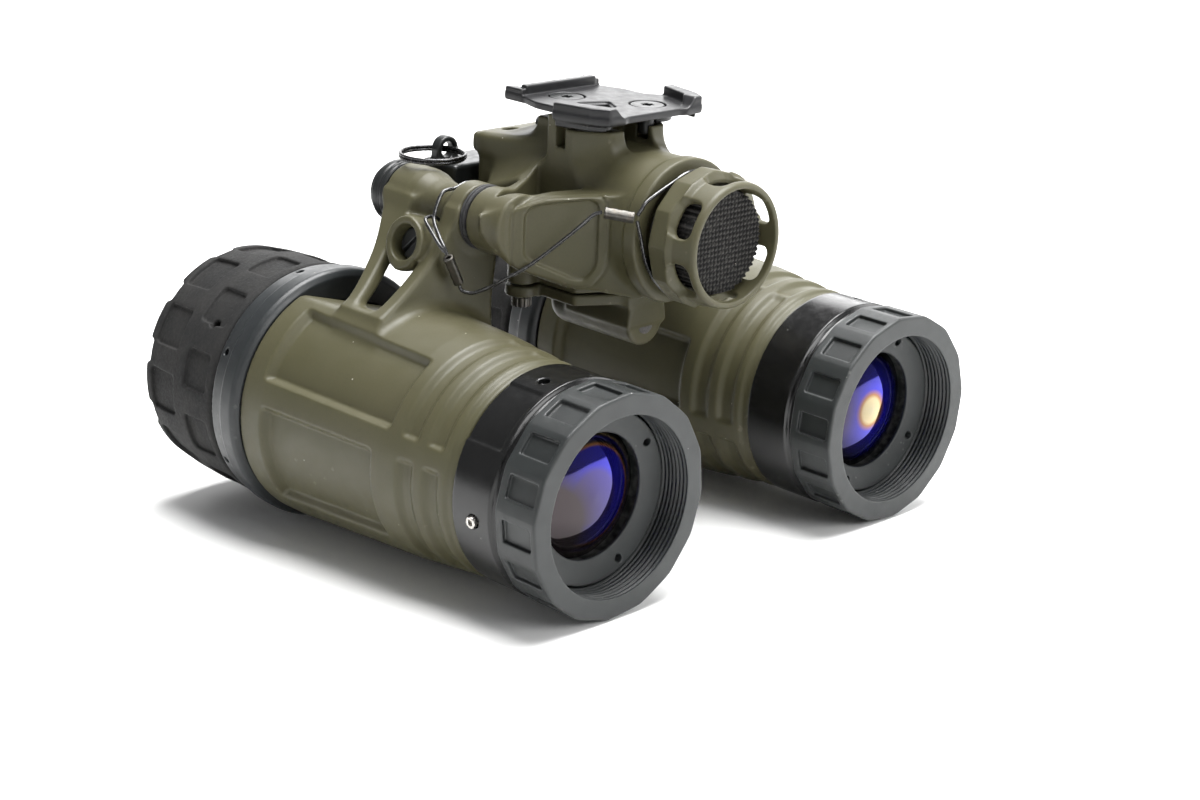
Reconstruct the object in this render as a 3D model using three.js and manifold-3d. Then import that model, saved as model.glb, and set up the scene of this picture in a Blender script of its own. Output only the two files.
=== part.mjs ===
// Articulating twin-tube night-vision binoculars: two tube pods hang on hinges from a
// bridge that carries the battery and the helmet-mount shoe. Millimetres, +Z up, the
// objectives face -Y, and the origin is on the ground under the middle of the object.
import * as THREE from 'three';
import { mergeVertices } from 'three/addons/utils/BufferGeometryUtils.js';
import Module from 'manifold-3d';

const wasm = await Module();
wasm.setup();

// ---------- driving dimensions (mm and degrees) ----------
const GAP = 0.3;             // clearance between pieces that touch
const LENGTH = 118.5;        // objective rim to eyepiece rim, along Y
const HALF_SPAN = 40.6;      // tube axis to the middle plane
const SPLAY = 16;            // swing of each pod outward from upright
const HINGE_X = 25;          // hinge axis to the middle plane
const HINGE_Z = 41;          // hinge axis above the tube axes
const HINGE_R = 6.6;         // radius of the hinge knuckles
const FOCUS_R = 22.1;        // focus ring
const MOUTH_R = 17.5;        // threaded mouth of the focus ring
const CLAMP_Y = 11;          // clamp ring behind the focus ring
const CLAMP_SCREW = 22.5;    // its set screw, below the outboard side
const BODY_Y = 22.7;         // tube body
const FLANGE_Y = 83;         // eyepiece flange ring
const FLANGE_R = 26.6;
const EYEPIECE_Y = 92;       // rubber eyepiece grip
const BORE_R = 19.3;         // bore of the tube body
const FLAT_Z = 19.7;         // flat on the tube body under the arm
const ARM_Y = 57.2;          // front of the arm
const ARM_WALL = 3.4;        // thickness of the arm's plate and web
const NECK_Y = [61.4, 71];   // narrow part of the arm's hinge barrel
const NECK_R = 4.8;
const ARM_END_Y = 80;        // rear of the arm
const PIN_R = 3;             // hinge pin
const BATTERY_Z = 40.8;      // battery axis above the tube axes
const BATTERY_R = 8.5;
const BATTERY_L = 34.5;
const TURRET_R = 14.3;       // battery housing
const KNOB = [1, 65.6];       // power knob, x and y
const TUBE_Y = [25, 66];     // front and rear of the battery housing
const TOWER_TOP = 58.9;      // tower that carries the shoe
const SHOE_Z = 61.4;         // underside of the shoe
const SHOE_T = 2;
const SHOE_SCREWS = [['front', 5, 42], ['rear', -3.1, 56.9]];
const POST_X = 8.4;          // posts between tower and shoe
const POST_Y = 43.8;
const COVER_TOP = 27;        // underside of the bridge, where the cover fits
const BOSS_Y = 55;           // rear of the bridge's hinge bosses
const BLOCK_Y = 74;          // rear of the bridge
const BLOCK_Z = 54;          // its top
const WIRE_R = 0.4;          // tether wire
const ROUND = 28;            // sides of the large rings
const MEDIUM = 20;           // sides of the inner rings
const SMALL = 12;            // sides of pins and screws

const rad = THREE.MathUtils.degToRad;

// ---------- materials ----------
function material(color, roughness, metalness, extra = {}) {
  return new THREE.MeshStandardMaterial({ color, roughness, metalness, ...extra });
}

const OLIVE = material('#6b684c', 0.55, 0.3);
const BLACK = material('#1c1f1f', 0.45, 0.5);
const GLOSS = material('#111212', 0.25, 0.6);
const RUBBER = material('#2b2d2d', 0.85, 0);
const STEEL = material('#a8a59c', 0.3, 0.9);
const BRASS = material('#a07448', 0.4, 0.9);
const GLASS = material('#2a2468', 0.05, 0, { transparent: true, opacity: 0.8 });
const CIRCUIT = material('#24482c', 0.6, 0);
const WIRE = material('#202223', 0.4, 0.2);

// ---------- solids ----------
function solidOf(geometry) {
  const bare = loose(geometry);
  bare.deleteAttribute('normal');
  bare.deleteAttribute('uv');
  const merged = mergeVertices(bare, 1e-4);
  const mesh = new wasm.Mesh({
    numProp: 3,
    vertProperties: new Float32Array(merged.attributes.position.array),
    triVerts: new Uint32Array(merged.index.array),
  });
  return new wasm.Manifold(mesh);
}

function geometryOf(solid) {
  const mesh = solid.getMesh();
  const geometry = new THREE.BufferGeometry();
  geometry.setAttribute('position', new THREE.BufferAttribute(new Float32Array(mesh.vertProperties), 3));
  geometry.setIndex(Array.from(mesh.triVerts));
  geometry.computeVertexNormals();
  return geometry;
}

function join(first, ...others) {
  return geometryOf(others.reduce((solid, piece) => solid.add(solidOf(piece)), solidOf(first)));
}

function common(first, other) {
  return geometryOf(solidOf(first).intersect(solidOf(other)));
}

function cut(first, ...others) {
  return geometryOf(others.reduce((solid, piece) => solid.subtract(solidOf(piece)), solidOf(first)));
}

function loose(geometry) {
  return geometry.index ? geometry.toNonIndexed() : geometry.clone();
}

function mirrored(geometry) {
  const copy = loose(geometry);
  copy.scale(-1, 1, 1);
  const position = copy.attributes.position;
  for (let i = 0; i < position.count; i += 3) {
    const a = new THREE.Vector3().fromBufferAttribute(position, i + 1);
    const b = new THREE.Vector3().fromBufferAttribute(position, i + 2);
    position.setXYZ(i + 1, b.x, b.y, b.z);
    position.setXYZ(i + 2, a.x, a.y, a.z);
  }
  copy.computeVertexNormals();
  return copy;
}

// A body of revolution about Y. The profile is [radius, y] going round with the
// material on its left; a profile off the axis is closed on itself.
function turned(profile, sides = ROUND) {
  const points = profile.map(([r, y]) => new THREE.Vector2(r, y));
  if (profile[0][0] > 0) points.push(points[0].clone());
  return new THREE.LatheGeometry(points, sides);
}

function disc(radius, y0, y1, sides = SMALL) {
  return turned([[0, y0], [radius, y0], [radius, y1], [0, y1]], sides);
}

function ring(inner, outer, y0, y1, sides = ROUND) {
  return turned([[inner, y0], [outer, y0], [outer, y1], [inner, y1]], sides);
}

function extruded(outline, depth) {
  const shape = new THREE.Shape(outline.map(([a, b]) => new THREE.Vector2(a, b)));
  return new THREE.ExtrudeGeometry(shape, { depth, bevelEnabled: false });
}

// Outline [x, z] swept from y0 to y1.
function prismY(outline, y0, y1) {
  return extruded(outline, y1 - y0).rotateX(Math.PI / 2).translate(0, y1, 0);
}

// Outline [y, z] swept from x0 to x1.
function prismX(outline, x0, x1) {
  const axes = new THREE.Matrix4().makeBasis(
    new THREE.Vector3(0, 1, 0), new THREE.Vector3(0, 0, 1), new THREE.Vector3(1, 0, 0));
  return extruded(outline, x1 - x0).applyMatrix4(axes).translate(x0, 0, 0);
}

// Outline [x, y] swept from z0 to z1.
function prismZ(outline, z0, z1) {
  return extruded(outline, z1 - z0).translate(0, 0, z0);
}

function box(x0, x1, y0, y1, z0, z1) {
  return new THREE.BoxGeometry(x1 - x0, y1 - y0, z1 - z0)
    .translate((x0 + x1) / 2, (y0 + y1) / 2, (z0 + z1) / 2);
}

function rodY(x, z, radius, y0, y1, sides = SMALL) {
  return disc(radius, y0, y1, sides).translate(x, 0, z);
}

function rodX(y, z, radius, x0, x1, sides = SMALL) {
  return disc(radius, x0, x1, sides).rotateZ(-Math.PI / 2).translate(0, y, z);
}

function rodZ(x, y, radius, z0, z1, sides = SMALL) {
  return disc(radius, z0, z1, sides).rotateX(Math.PI / 2).translate(x, y, 0);
}

function arc(cx, cy, radius, from, to, steps) {
  return Array.from({ length: steps + 1 }, (_, i) => {
    const angle = rad(from + (to - from) * i / steps);
    return [cx + radius * Math.cos(angle), cy + radius * Math.sin(angle)];
  });
}

// ---------- assembly ----------
const object = new THREE.Group();
object.position.set(0, -LENGTH / 2, FLANGE_R);

function add(parent, name, geometry, look) {
  const mesh = new THREE.Mesh(geometry, look);
  mesh.name = name;
  parent.add(mesh);
  return mesh;
}

// ---------- tube pods ----------
// Left pod, in its own frame: the tube axis is Y, +X points inboard, +Z points to the arm.
const hingeOffset = new THREE.Vector2(HALF_SPAN - HINGE_X, HINGE_Z).rotateAround(new THREE.Vector2(), rad(SPLAY));
const HX = hingeOffset.x;
const HZ = hingeOffset.y;

// Outer face of the arm's web, from the hinge down to the body: [x, z].
const WEB = [[HX - HINGE_R, HZ], [-4.6, 38.5], [-6.6, 33.5], [-9.6, 28.5], [-13, 24], [-16.4, 20.4]];

function podHousing() {
  const body = turned([
    [0, BODY_Y], [21.4, BODY_Y], [22.1, 30], [23.5, 42], [24.9, 70], [25.3, 76], [25.3, FLANGE_Y - GAP], [0, FLANGE_Y - GAP],
  ]);
  const flatBody = cut(body, box(-30, 30, ARM_Y + 0.8, 100, FLAT_Z, 40));
  const armSolid = prismY([
    ...WEB, [-16.4, 16], [14.6, 16], [14.2, 21], [12, 28], [10.7, 36], [HX + HINGE_R, HZ],
  ], ARM_Y, ARM_END_Y);
  const inside = prismY([
    ...WEB.slice(1).map(([x, z]) => [x + ARM_WALL, z]), [-13, FLAT_Z], [24, FLAT_Z], [24, 38.5],
  ], ARM_Y + ARM_WALL, ARM_END_Y + 5);
  const overNeck = prismY([[-12, 40.4], [-12, 60], [24, 60], [24, 40.4]], NECK_Y[0], NECK_Y[1]);
  const underNeck = box(-12, 24, NECK_Y[0], NECK_Y[0] + 2, 36.8, 41);
  const behindLeg = prismX([[78.5, 40], [69.5, FLAT_Z], [95, FLAT_Z], [95, 40]], -20, 20);
  const window = prismX([
    [60.8, 33], [60.8, 21.4], [66.6, 21.4], [69.4, 28], [71.2, 33], [68.6, 30.6], [64.8, 29.4], [61.6, 30.8],
  ], -20, 0);
  const arm = cut(armSolid, inside, overNeck, underNeck, behindLeg, window);
  const barrel = [
    rodY(HX, HZ, HINGE_R, ARM_Y, NECK_Y[0], MEDIUM),
    rodY(HX, HZ, NECK_R, NECK_Y[0] - 1, NECK_Y[1] + 1, SMALL),
    rodY(HX, HZ, HINGE_R, NECK_Y[1], ARM_END_Y, MEDIUM),
    rodX(64.8, 35.3, 5.3, -8.6, -2, SMALL),
  ];
  return cut(
    join(flatBody, arm, ...barrel),
    rodY(0, 0, BORE_R, 0, 100, ROUND),
    rodY(HX, HZ, PIN_R + GAP, 40, 100, SMALL),
    rodX(64.8, 35.3, 3.6, -20, -3.2, SMALL),
  );
}

const focusRing = turned([
  [MOUTH_R, 0], [20.6, 0], [FOCUS_R, 1.6], [FOCUS_R, 10.2], [20.4, 10.6], [19, 10.6], [19, 8.2], [MOUTH_R, 7],
], 32);
const clampRing = ring(19.6, 21.9, CLAMP_Y, BODY_Y - GAP);
const objectiveBarrel = turned([
  [13.4, 8.6], [18.6, 8.6], [18.6, CLAMP_Y], [19.2, CLAMP_Y], [19.2, 22], [18.6, 34], [13.4, 34],
], MEDIUM);
const lensRetainer = turned([[12.4, 8.2], [12.4, 7.4], [17.1, 6], [17.1, 8.2]], MEDIUM);
const objectiveLens = turned([[0, 7.6], [8, 8.2], [12, 9.6], [13, 10.2], [13, 18], [0, 18]], MEDIUM);
const intensifier = turned([[0, 37], [15, 37], [18.6, 39], [18.6, 74], [15, 78], [0, 78]], MEDIUM);
const flangeRing = turned([
  [20, FLANGE_Y], [25.2, FLANGE_Y], [FLANGE_R, 84.6], [FLANGE_R, 87.4], [25.8, 88.4], [25.8, 91.6], [20, 91.6],
]);
const eyepieceLens = turned([[0, 101], [15.4, 101], [15.4, 107], [9, 109.4], [0, 110]], MEDIUM);

const eyepieceGrip = turned([
  [16, EYEPIECE_Y], [25.2, EYEPIECE_Y], [25.6, 94], [25.6, 100], [25, 110], [24.4, 116.5], [22.6, LENGTH], [18.6, LENGTH], [16, 108],
], 32);

const hingeSeal = turned([
  [PIN_R + GAP, 55.3], [6.1, 55.3], [6.5, 55.6], [6.5, 56.6], [6.1, 56.9], [PIN_R + GAP, 56.9],
], MEDIUM);
const podHousingLeft = podHousing();
const PODS = [['left', -1], ['right', 1]];
const leftPod = new THREE.Group();

for (const [side, sign] of PODS) {
  const hand = (geometry) => (sign < 0 ? geometry : mirrored(geometry));
  const pod = sign < 0 ? leftPod : new THREE.Group();
  pod.position.x = sign * HALF_SPAN;
  pod.rotation.y = -sign * rad(SPLAY);
  object.add(pod);
  add(pod, `${side}_pod_housing`, hand(podHousingLeft), OLIVE);
  add(pod, `${side}_clamp_ring`, clampRing, GLOSS);
  add(pod, `${side}_focus_ring`, focusRing, BLACK);
  add(pod, `${side}_lens_retainer`, lensRetainer, BLACK);
  add(pod, `${side}_objective_lens`, objectiveLens, GLASS);
  add(pod, `${side}_objective_barrel`, objectiveBarrel, BLACK);
  add(pod, `${side}_intensifier_tube`, intensifier, BLACK);
  add(pod, `${side}_flange_ring`, flangeRing, BLACK);
  add(pod, `${side}_eyepiece_grip`, eyepieceGrip, RUBBER);
  add(pod, `${side}_eyepiece_lens`, eyepieceLens, GLASS);
  add(pod, `${side}_arm_screw`, hand(rodX(64.8, 35.3, 3.2, -6.2, -3.6)), BLACK);
  add(pod, `${side}_clamp_screw`, hand(rodX(16.6, 0, 1.2, -22.9, -22.2, 8).rotateY(-rad(CLAMP_SCREW))), STEEL);

  const hinge = new THREE.Group();
  hinge.position.set(sign * HINGE_X, 0, HINGE_Z);
  object.add(hinge);
  add(hinge, `${side}_hinge_pin`, disc(PIN_R, 46.8, 85.4), STEEL);
  add(hinge, `${side}_hinge_seal`, hingeSeal, RUBBER);
  add(hinge, `${side}_hinge_screw`, turned([[0, 86], [3.8, 86], [3.8, 86.8], [3, 87.4], [0, 87.4]], SMALL), BRASS);
}

// ---------- bridge ----------
function bothSides(geometry) {
  return [geometry, mirrored(geometry)];
}

function onBattery(geometry) {
  return geometry.translate(0, 0, BATTERY_Z);
}

function bridgeHousing() {
  const [front, rear] = TUBE_Y;
  const shell = onBattery(turned([
    [0, front], [14.7, front], [14.7, front + 5], [TURRET_R, front + 5.4], [TURRET_R, rear], [0, rear],
  ], ROUND));
  const tower = prismZ([
    [-8, 60.5], [-8, 52.7], [-12.5, 52.7], [-12.5, 45.9], [-7.4, 39.3], [7.4, 39.3], [12.5, 45.9], [12.5, 52.7], [8, 52.7], [8, 60.5],
  ], 44, TOWER_TOP);
  const strip = box(-12.5, 12.5, 50.2, 52.7, 50, SHOE_Z - GAP);
  // the slanting side face between the hinge boss and the battery tube
  const panel = common(
    prismZ([[-8, 50.5], [-26, 50.5], [-28.3, 45.5], [-14.3, 33.3], [-8, 33.3]], COVER_TOP, 49),
    prismY([[-8, 48], [-14, 48], [-22, 47.4], [-28.3, 45.4], [-28.3, 33.2], [-18.4, 29.4], [-14.3, 29.2], [-8, 27.4]], 30, 55),
  );
  const wing = prismZ([[-8, 45.5], [-24, 45.5], [-24, BOSS_Y], [-17.4, BOSS_Y], [-16, 66], [-8, 66]], 35, 45.8);
  const boss = rodY(-HINGE_X, HINGE_Z, HINGE_R, 45.5, BOSS_Y, MEDIUM);
  const block = prismZ([
    [-8, 56], [-9, 58.5], [-13.5, 70], [-13.5, BLOCK_Y], [13.5, BLOCK_Y], [13.5, 70], [9, 58.5], [8, 56],
  ], 36, BLOCK_Z);
  const belly = prismZ([[-15, 40.5], [-8, 37], [8, 37], [15, 40.5], [15, 54], [-15, 54]], COVER_TOP, 34);
  const post = rodZ(-17, 53.6, 3, COVER_TOP, 36, SMALL);
  const pocket = common(
    prismZ([[-30, 45.3], [-26.3, 43.8], [-16.2, 34.9], [-12, 30], [-12.2, 33.6], [-26, 45.7]], 26, 50),
    prismY([[-16.2, 47.2], [-24.7, 46], [-26.3, 44.5], [-26.3, 35.8], [-18.5, 31.6], [-16.2, 33.4]], 30, 55),
  );
  const recess = prismZ([[-25.6, 49.9], [-14, 46.6], [-13.2, 54.2]], 42.6, 52);
  const slot = box(-14, -9.5, 47.6, 50.2, 54.8, 70);
  const notch = box(-3.75, 3.75, 38, 47, 55, 70);
  return cut(
    join(shell, tower, strip, ...bothSides(panel), ...bothSides(wing), ...bothSides(boss), block, belly, ...bothSides(post)),
    onBattery(disc(BATTERY_R + 0.6, front - 5, 64.3, MEDIUM)),
    onBattery(disc(11.4, front - 5, front + 1.2, MEDIUM)),
    box(-30, 30, 0, 100, 0, COVER_TOP),
    box(-8, 8, 42, 52, COVER_TOP - 1, COVER_TOP + 2),
    ...bothSides(pocket), ...bothSides(recess), ...bothSides(slot), notch,
    ...SHOE_SCREWS.map(([, x, y]) => rodZ(x, y, 1.8, 56, 70, SMALL)), rodZ(...KNOB, 3.5, BLOCK_Z, 70, SMALL),
    ...bothSides(rodY(-HINGE_X, HINGE_Z, PIN_R + GAP, 46.5, 100, SMALL)),
  );
}

function bottomCover() {
  const top = COVER_TOP - GAP;
  const plate = prismZ([[-15, 40.5], [-5, 34.8], [5, 34.8], [15, 40.5], [15, 55.6], [-15, 55.6]], 24.4, top);
  const ears = bothSides(rodZ(-17, 53.6, 3.4, 24.4, top, SMALL));
  const lobe = rodY(0, 20, 5, 34.8, 59, MEDIUM);
  const web = box(-5, 5, 34.8, 50, 20, 25);
  return join(plate, ...ears, lobe, web);
}

add(object, 'bridge_housing', bridgeHousing(), OLIVE);
add(object, 'bottom_cover', bottomCover(), OLIVE);
for (const [side, sign] of PODS) {
  add(object, `${side}_cover_screw`, rodZ(sign * 17, 53.6, 2.1, 22, 24.1, SMALL), STEEL);
}

// Battery, its cap and what lies inside the battery housing.
function batteryCap() {
  const blank = turned([
    [0, 19.8], [11.2, 19.8], [11.2, 11.3], [12, 11.3], [12.6, 12], [12.9, 17.4], [13.8, 18], [13.8, 21.6], [13.2, 22.3],
    [8.7, 22.3], [8.7, 27], [0, 27],
  ], 24);
  const windows = [];
  for (let i = 0; i < 6; i += 1) {
    windows.push(prismX([[13, -3.2], [17.2, -3.2], [17.2, 3.2], [13, 3.2]], 8, 16).rotateY(rad(60 * i + 30)));
  }
  return onBattery(cut(blank, ...windows));
}

add(object, 'battery_cap', batteryCap(), OLIVE);
add(object, 'cap_pad', onBattery(disc(10.6, 14.3, 19.5, MEDIUM)), RUBBER);
add(object, 'cap_seal', onBattery(ring(9, 10.9, 22.6, TUBE_Y[0] - GAP, MEDIUM)), RUBBER);
add(object, 'battery', onBattery(turned([
  [0, 27.3], [BATTERY_R, 27.3], [BATTERY_R, 27.3 + BATTERY_L], [2.6, 27.3 + BATTERY_L], [2.6, 62.8], [0, 62.8],
], MEDIUM)), STEEL);
add(object, 'contact_plate', onBattery(disc(6, 63.1, 63.9, SMALL)), BRASS);
add(object, 'circuit_board', box(-7, 7, 43, 51, COVER_TOP + GAP, COVER_TOP + 1.4), CIRCUIT);

// Helmet-mount shoe, its two screws and the posts it stands on.
const SHOE_TOP = SHOE_Z + SHOE_T;

function mountShoe() {
  const half = [
    [-7.5, 35], [-8.5, 34.5], [-13, 34.5], [-15, 38], [-17, 46.6], [-14, 48.2], [-12.6, 50], [-12.6, 56], [-11, 61], [-11, 67],
  ];
  const plate = prismZ([...half, ...half.map(([x, y]) => [-x, y]).reverse()], SHOE_Z, SHOE_TOP);
  const ear = prismZ([[-8.5, 34.5], [-13, 34.5], [-15, 38], [-17, 46.6], [-14.2, 46.6], [-11.8, 38.6], [-9.6, 36.6]], 62, 64.9);
  const skirt = prismZ([[-13, 35.6], [-15, 38.6], [-16.7, 45.6], [-15.2, 45.6], [-13.5, 39.2]], 60.2, 62);
  const lip = box(-9.6, 9.6, 61, 64, 62, 64.9);
  const holes = SHOE_SCREWS.flatMap(([, x, y]) => [rodZ(x, y, 1.9, 50, 70, SMALL), rodZ(x, y, 3.8, SHOE_TOP - 0.9, 70, MEDIUM)]);
  const opening = prismZ([[-3, 43.3], [-0.1, 48.3], [-6, 50.6]], 50, 70);
  return cut(join(plate, ...bothSides(ear), ...bothSides(skirt), lip), ...holes, opening);
}

const shoeScrew = turned([
  [0, 57], [1.5, 57], [1.5, SHOE_TOP - 0.6], [3.5, SHOE_TOP - 0.6], [3.5, SHOE_TOP - 0.1], [0, SHOE_TOP - 0.1],
], MEDIUM).rotateX(Math.PI / 2);

function shoePost(sign) {
  const blank = rodZ(sign * POST_X, POST_Y, 4, TOWER_TOP + GAP, SHOE_Z - GAP, MEDIUM);
  return cut(blank, ...SHOE_SCREWS.map(([, x, y]) => rodZ(x, y, 1.8, 50, 70, SMALL)));
}

add(object, 'mount_shoe', mountShoe(), BLACK);
for (const [place, x, y] of SHOE_SCREWS) {
  add(object, `shoe_screw_${place}`, shoeScrew, BLACK).position.set(x, y, 0);
}
for (const [side, sign] of PODS) {
  add(object, `shoe_post_${side}`, shoePost(sign), BLACK);
}

// Rear bracket: carries the rear ends of both hinge pins and the lug for the split ring.
const BRACKET_Y = [ARM_END_Y + GAP, 84.2];
const LUG_X = -14.6;
const LUG_Z = 49;
const RING_R = 6.7;

function rearBracket() {
  const [front, rear] = BRACKET_Y;
  const bar = box(-HINGE_X, HINGE_X, front, rear, HINGE_Z - 4.6, HINGE_Z + 5.4);
  const middle = box(-17.4, 17.4, BLOCK_Y + GAP, rear, HINGE_Z - 4.6, HINGE_Z + 5.9);
  const caps = bothSides(rodY(-HINGE_X, HINGE_Z, HINGE_R, front, rear, MEDIUM));
  const bosses = bothSides(rodY(-HINGE_X, HINGE_Z, 5.6, front, 85.7, MEDIUM));
  const lug = prismY([[LUG_X - 2.8, 46], [LUG_X + 2.8, 46], ...arc(LUG_X, LUG_Z, 2.8, 0, 180, 8)], 79.6, 82);
  return cut(
    join(bar, middle, ...caps, ...bosses, lug),
    rodY(LUG_X, LUG_Z, 1.65, 78, 90, SMALL),
    ...bothSides(rodY(-HINGE_X, HINGE_Z, PIN_R + GAP, 75, 100, SMALL)),
  );
}

add(object, 'rear_bracket', rearBracket(), BLACK);
const splitRing = turned(arc(RING_R, 0, 0.7, 0, 300, 5), 24).rotateX(Math.PI / 2);
add(object, 'split_ring', splitRing, STEEL).position.set(LUG_X - 5.9, 77.7, LUG_Z);

add(object, 'power_knob', turned([[0, 0], [3.2, 0], [3.2, 1.7], [2.7, 2.2], [0, 2.2]], SMALL)
  .rotateX(Math.PI / 2), BLACK).position.set(...KNOB, BLOCK_Z + GAP);

// ---------- tether ----------
// A coated wire ties the battery cap to the left arm: one end loops round the cap's
// groove, the other round the neck of the arm's hinge barrel, and a ferrule closes each loop.
const FERRULE_R = 1.2;
const CAP_FERRULE = [[-15.7, 24.2, 46.1], [-19.7, 28.4, 46.9]];
const HINGE_FERRULE = [[-0.9, 54.6, 30.1], [-5.5, 54.4, 34.8]];   // in the left pod's frame

function vector(point) {
  return new THREE.Vector3(...point);
}

function wire(points) {
  const curve = new THREE.CatmullRomCurve3(points.map(vector), false, 'centripetal');
  const steps = Math.round(curve.getLength() / 2.4);
  const section = new THREE.Shape(arc(0, 0, WIRE_R, 0, 315, 7).map(([x, y]) => new THREE.Vector2(x, y)));
  return new THREE.ExtrudeGeometry(section, { steps, extrudePath: curve, bevelEnabled: false });
}

function ferrule([from, to]) {
  const axis = vector(to).sub(vector(from));
  const turn = new THREE.Quaternion().setFromUnitVectors(new THREE.Vector3(0, 1, 0), axis.clone().normalize());
  return disc(FERRULE_R, 0, axis.length(), 10).applyQuaternion(turn).translate(...from);
}

// A point on a circle round the battery axis, in the groove in front of the housing.
function groove(angle, radius) {
  return [radius * Math.cos(rad(angle)), TUBE_Y[0] - 1.35, BATTERY_Z + radius * Math.sin(rad(angle))];
}

const capLoop = [[-15.3, 23.8, 46.6], [-14.4, 23.7, 47.6], [-12.7, 23.65, 49.2]];
for (let angle = 120; angle > -150; angle -= 24) capLoop.push(groove(angle, 12.6));
capLoop.push(groove(-165, 13.2), groove(176, 14.2), [-15.3, 23.8, 45.5]);

const freeWire = [
  [-20, 28.75, 46.95], [-20.8, 30.2, 46.2], [-21.6, 33, 43.4], [-23.6, 37.8, 38.6], [-26.3, 41.9, 34.4], [-29, 46, 31.1],
  [-30.4, 50.3, 28.3], [-31.6, 52.6, 27.3], [-32.6, 54.2, 27.6], [-33, 54.6, 28.6],
];

// A point on a circle round the hinge axis, beside the front knuckle, in the left pod's frame.
function neck(angle, radius) {
  return [HX + radius * Math.cos(rad(angle)), NECK_Y[0] + 0.9, HZ + radius * Math.sin(rad(angle))];
}

const hingeLoop = [[-5.7, 54.6, 35.2], [-6, 55.6, 36.5], [-6, 57.6, 38.2], [-5.4, 61, 41.4], neck(160, 7.7)];
for (let angle = 135; angle > -150; angle -= 30) hingeLoop.push(neck(angle, 5.8));
hingeLoop.push([-3.6, 62.3, 41.4], [-6, 62, 41.2], [-7.4, 60.9, 40.4], [-7.3, 57.6, 38], [-6.9, 55.6, 36.4], [-6.3, 54.7, 35.6]);

add(object, 'cap_loop', wire(capLoop), WIRE);
add(object, 'cap_ferrule', ferrule(CAP_FERRULE), STEEL);
add(object, 'tether_wire', wire(freeWire), WIRE);
add(leftPod, 'hinge_ferrule', ferrule(HINGE_FERRULE), STEEL);
add(leftPod, 'hinge_loop', wire(hingeLoop), WIRE);

export default object;
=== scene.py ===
"""Looks of the night vision binoculars.

Pieces are shaped in millimetres in the tube frame: X to the right, Y from the objective rim towards the
eyepieces, Z up from the tube axes. Pod pieces use the left pod's own frame, where -X is outboard and +Z
points to the arm. Both are then stored in metres in the part's frame. Cast and machined pieces are distance
fields turned into meshes, lenses and seals are turned profiles, and wires are tubes along a path.
"""

import math

import bpy
import numpy as np
import openvdb
from mathutils import Matrix, Vector


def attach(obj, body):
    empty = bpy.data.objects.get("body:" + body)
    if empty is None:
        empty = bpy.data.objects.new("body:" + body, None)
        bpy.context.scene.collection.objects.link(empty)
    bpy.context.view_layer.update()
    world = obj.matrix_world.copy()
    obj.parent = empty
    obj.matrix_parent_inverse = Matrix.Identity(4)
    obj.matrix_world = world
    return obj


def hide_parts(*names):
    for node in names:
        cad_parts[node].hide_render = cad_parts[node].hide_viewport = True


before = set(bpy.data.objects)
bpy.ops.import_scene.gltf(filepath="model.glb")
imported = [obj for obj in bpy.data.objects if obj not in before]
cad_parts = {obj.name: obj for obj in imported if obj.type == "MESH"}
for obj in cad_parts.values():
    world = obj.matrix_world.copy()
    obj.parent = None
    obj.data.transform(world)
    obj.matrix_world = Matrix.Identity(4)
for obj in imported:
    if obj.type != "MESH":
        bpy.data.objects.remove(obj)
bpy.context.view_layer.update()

# ---- dimensions shared with the CAD (mm and degrees) ----
LENGTH = 118.5
HALF_SPAN = 40.6
SPLAY = 16
HINGE_X, HINGE_Z, HINGE_R = 25, 41, 6.6
FOCUS_R, MOUTH_R = 22.1, 17.5
CLAMP_Y, CLAMP_SCREW, CLAMP_SCREW_Y = 11, 22.5, 16.6
BODY_Y, FLANGE_Y, FLANGE_R, EYEPIECE_Y = 22.7, 83, 26.6, 92
BORE_R, FLAT_Z = 19.3, 19.7
ARM_Y, ARM_WALL, ARM_END_Y = 57.2, 3.4, 80
NECK_Y = (61.4, 71)
PIN_R = 3
BATTERY_Z, BATTERY_R, TURRET_R = 40.8, 8.5, 14.3
TUBE_Y = (25, 66)
TOWER_TOP, SHOE_Z = 58.9, 61.4
SHOE_SCREWS = {"front": (5, 42), "rear": (-3.1, 56.9)}
POST_X, POST_Y = 8.4, 43.8
COVER_TOP, BOSS_Y, BLOCK_Y, BLOCK_Z = 27, 55, 74, 54
COVER_SCREW = (17, 53.6)
KNOB_AT = (1, 65.6)
LUG_X, LUG_Z, RING_R = -14.6, 49, 6.7
GAP = 0.3
SIDES = (("left", -1), ("right", 1))

splay = math.radians(SPLAY)
HX = (HALF_SPAN - HINGE_X) * math.cos(splay) - HINGE_Z * math.sin(splay)
HZ = (HALF_SPAN - HINGE_X) * math.sin(splay) + HINGE_Z * math.cos(splay)

TUBE_FRAME = Matrix.Translation((0, -LENGTH / 2000, FLANGE_R / 1000)) @ Matrix.Scale(0.001, 4)


def pod_frame(sign):
    """From the left pod's own frame to the part's frame; the right pod is its mirror image."""
    place = Matrix.Translation((sign * HALF_SPAN, 0, 0)) @ Matrix.Rotation(-sign * splay, 4, "Y")
    return TUBE_FRAME @ place @ Matrix.Diagonal((-sign, 1, 1, 1))


# ---- camera ----
def add_camera():
    right = Vector((0.7113, -0.7016, 0.0418))
    up = Vector((0.1956, 0.2547, 0.9470))
    back = Vector((-0.6751, -0.6655, 0.3184))
    camera = bpy.data.objects.new("camera", bpy.data.cameras.new("camera"))
    camera.matrix_world = Matrix((right, up, back)).transposed().to_4x4()
    camera.location = TUBE_FRAME @ Vector((-326.84, -275.43, 154.17))
    camera.data.sensor_width = 36
    camera.data.lens = 69.56
    camera.data.clip_start = 0.01
    bpy.context.collection.objects.link(camera)
    bpy.context.scene.camera = camera


add_camera()


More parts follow.
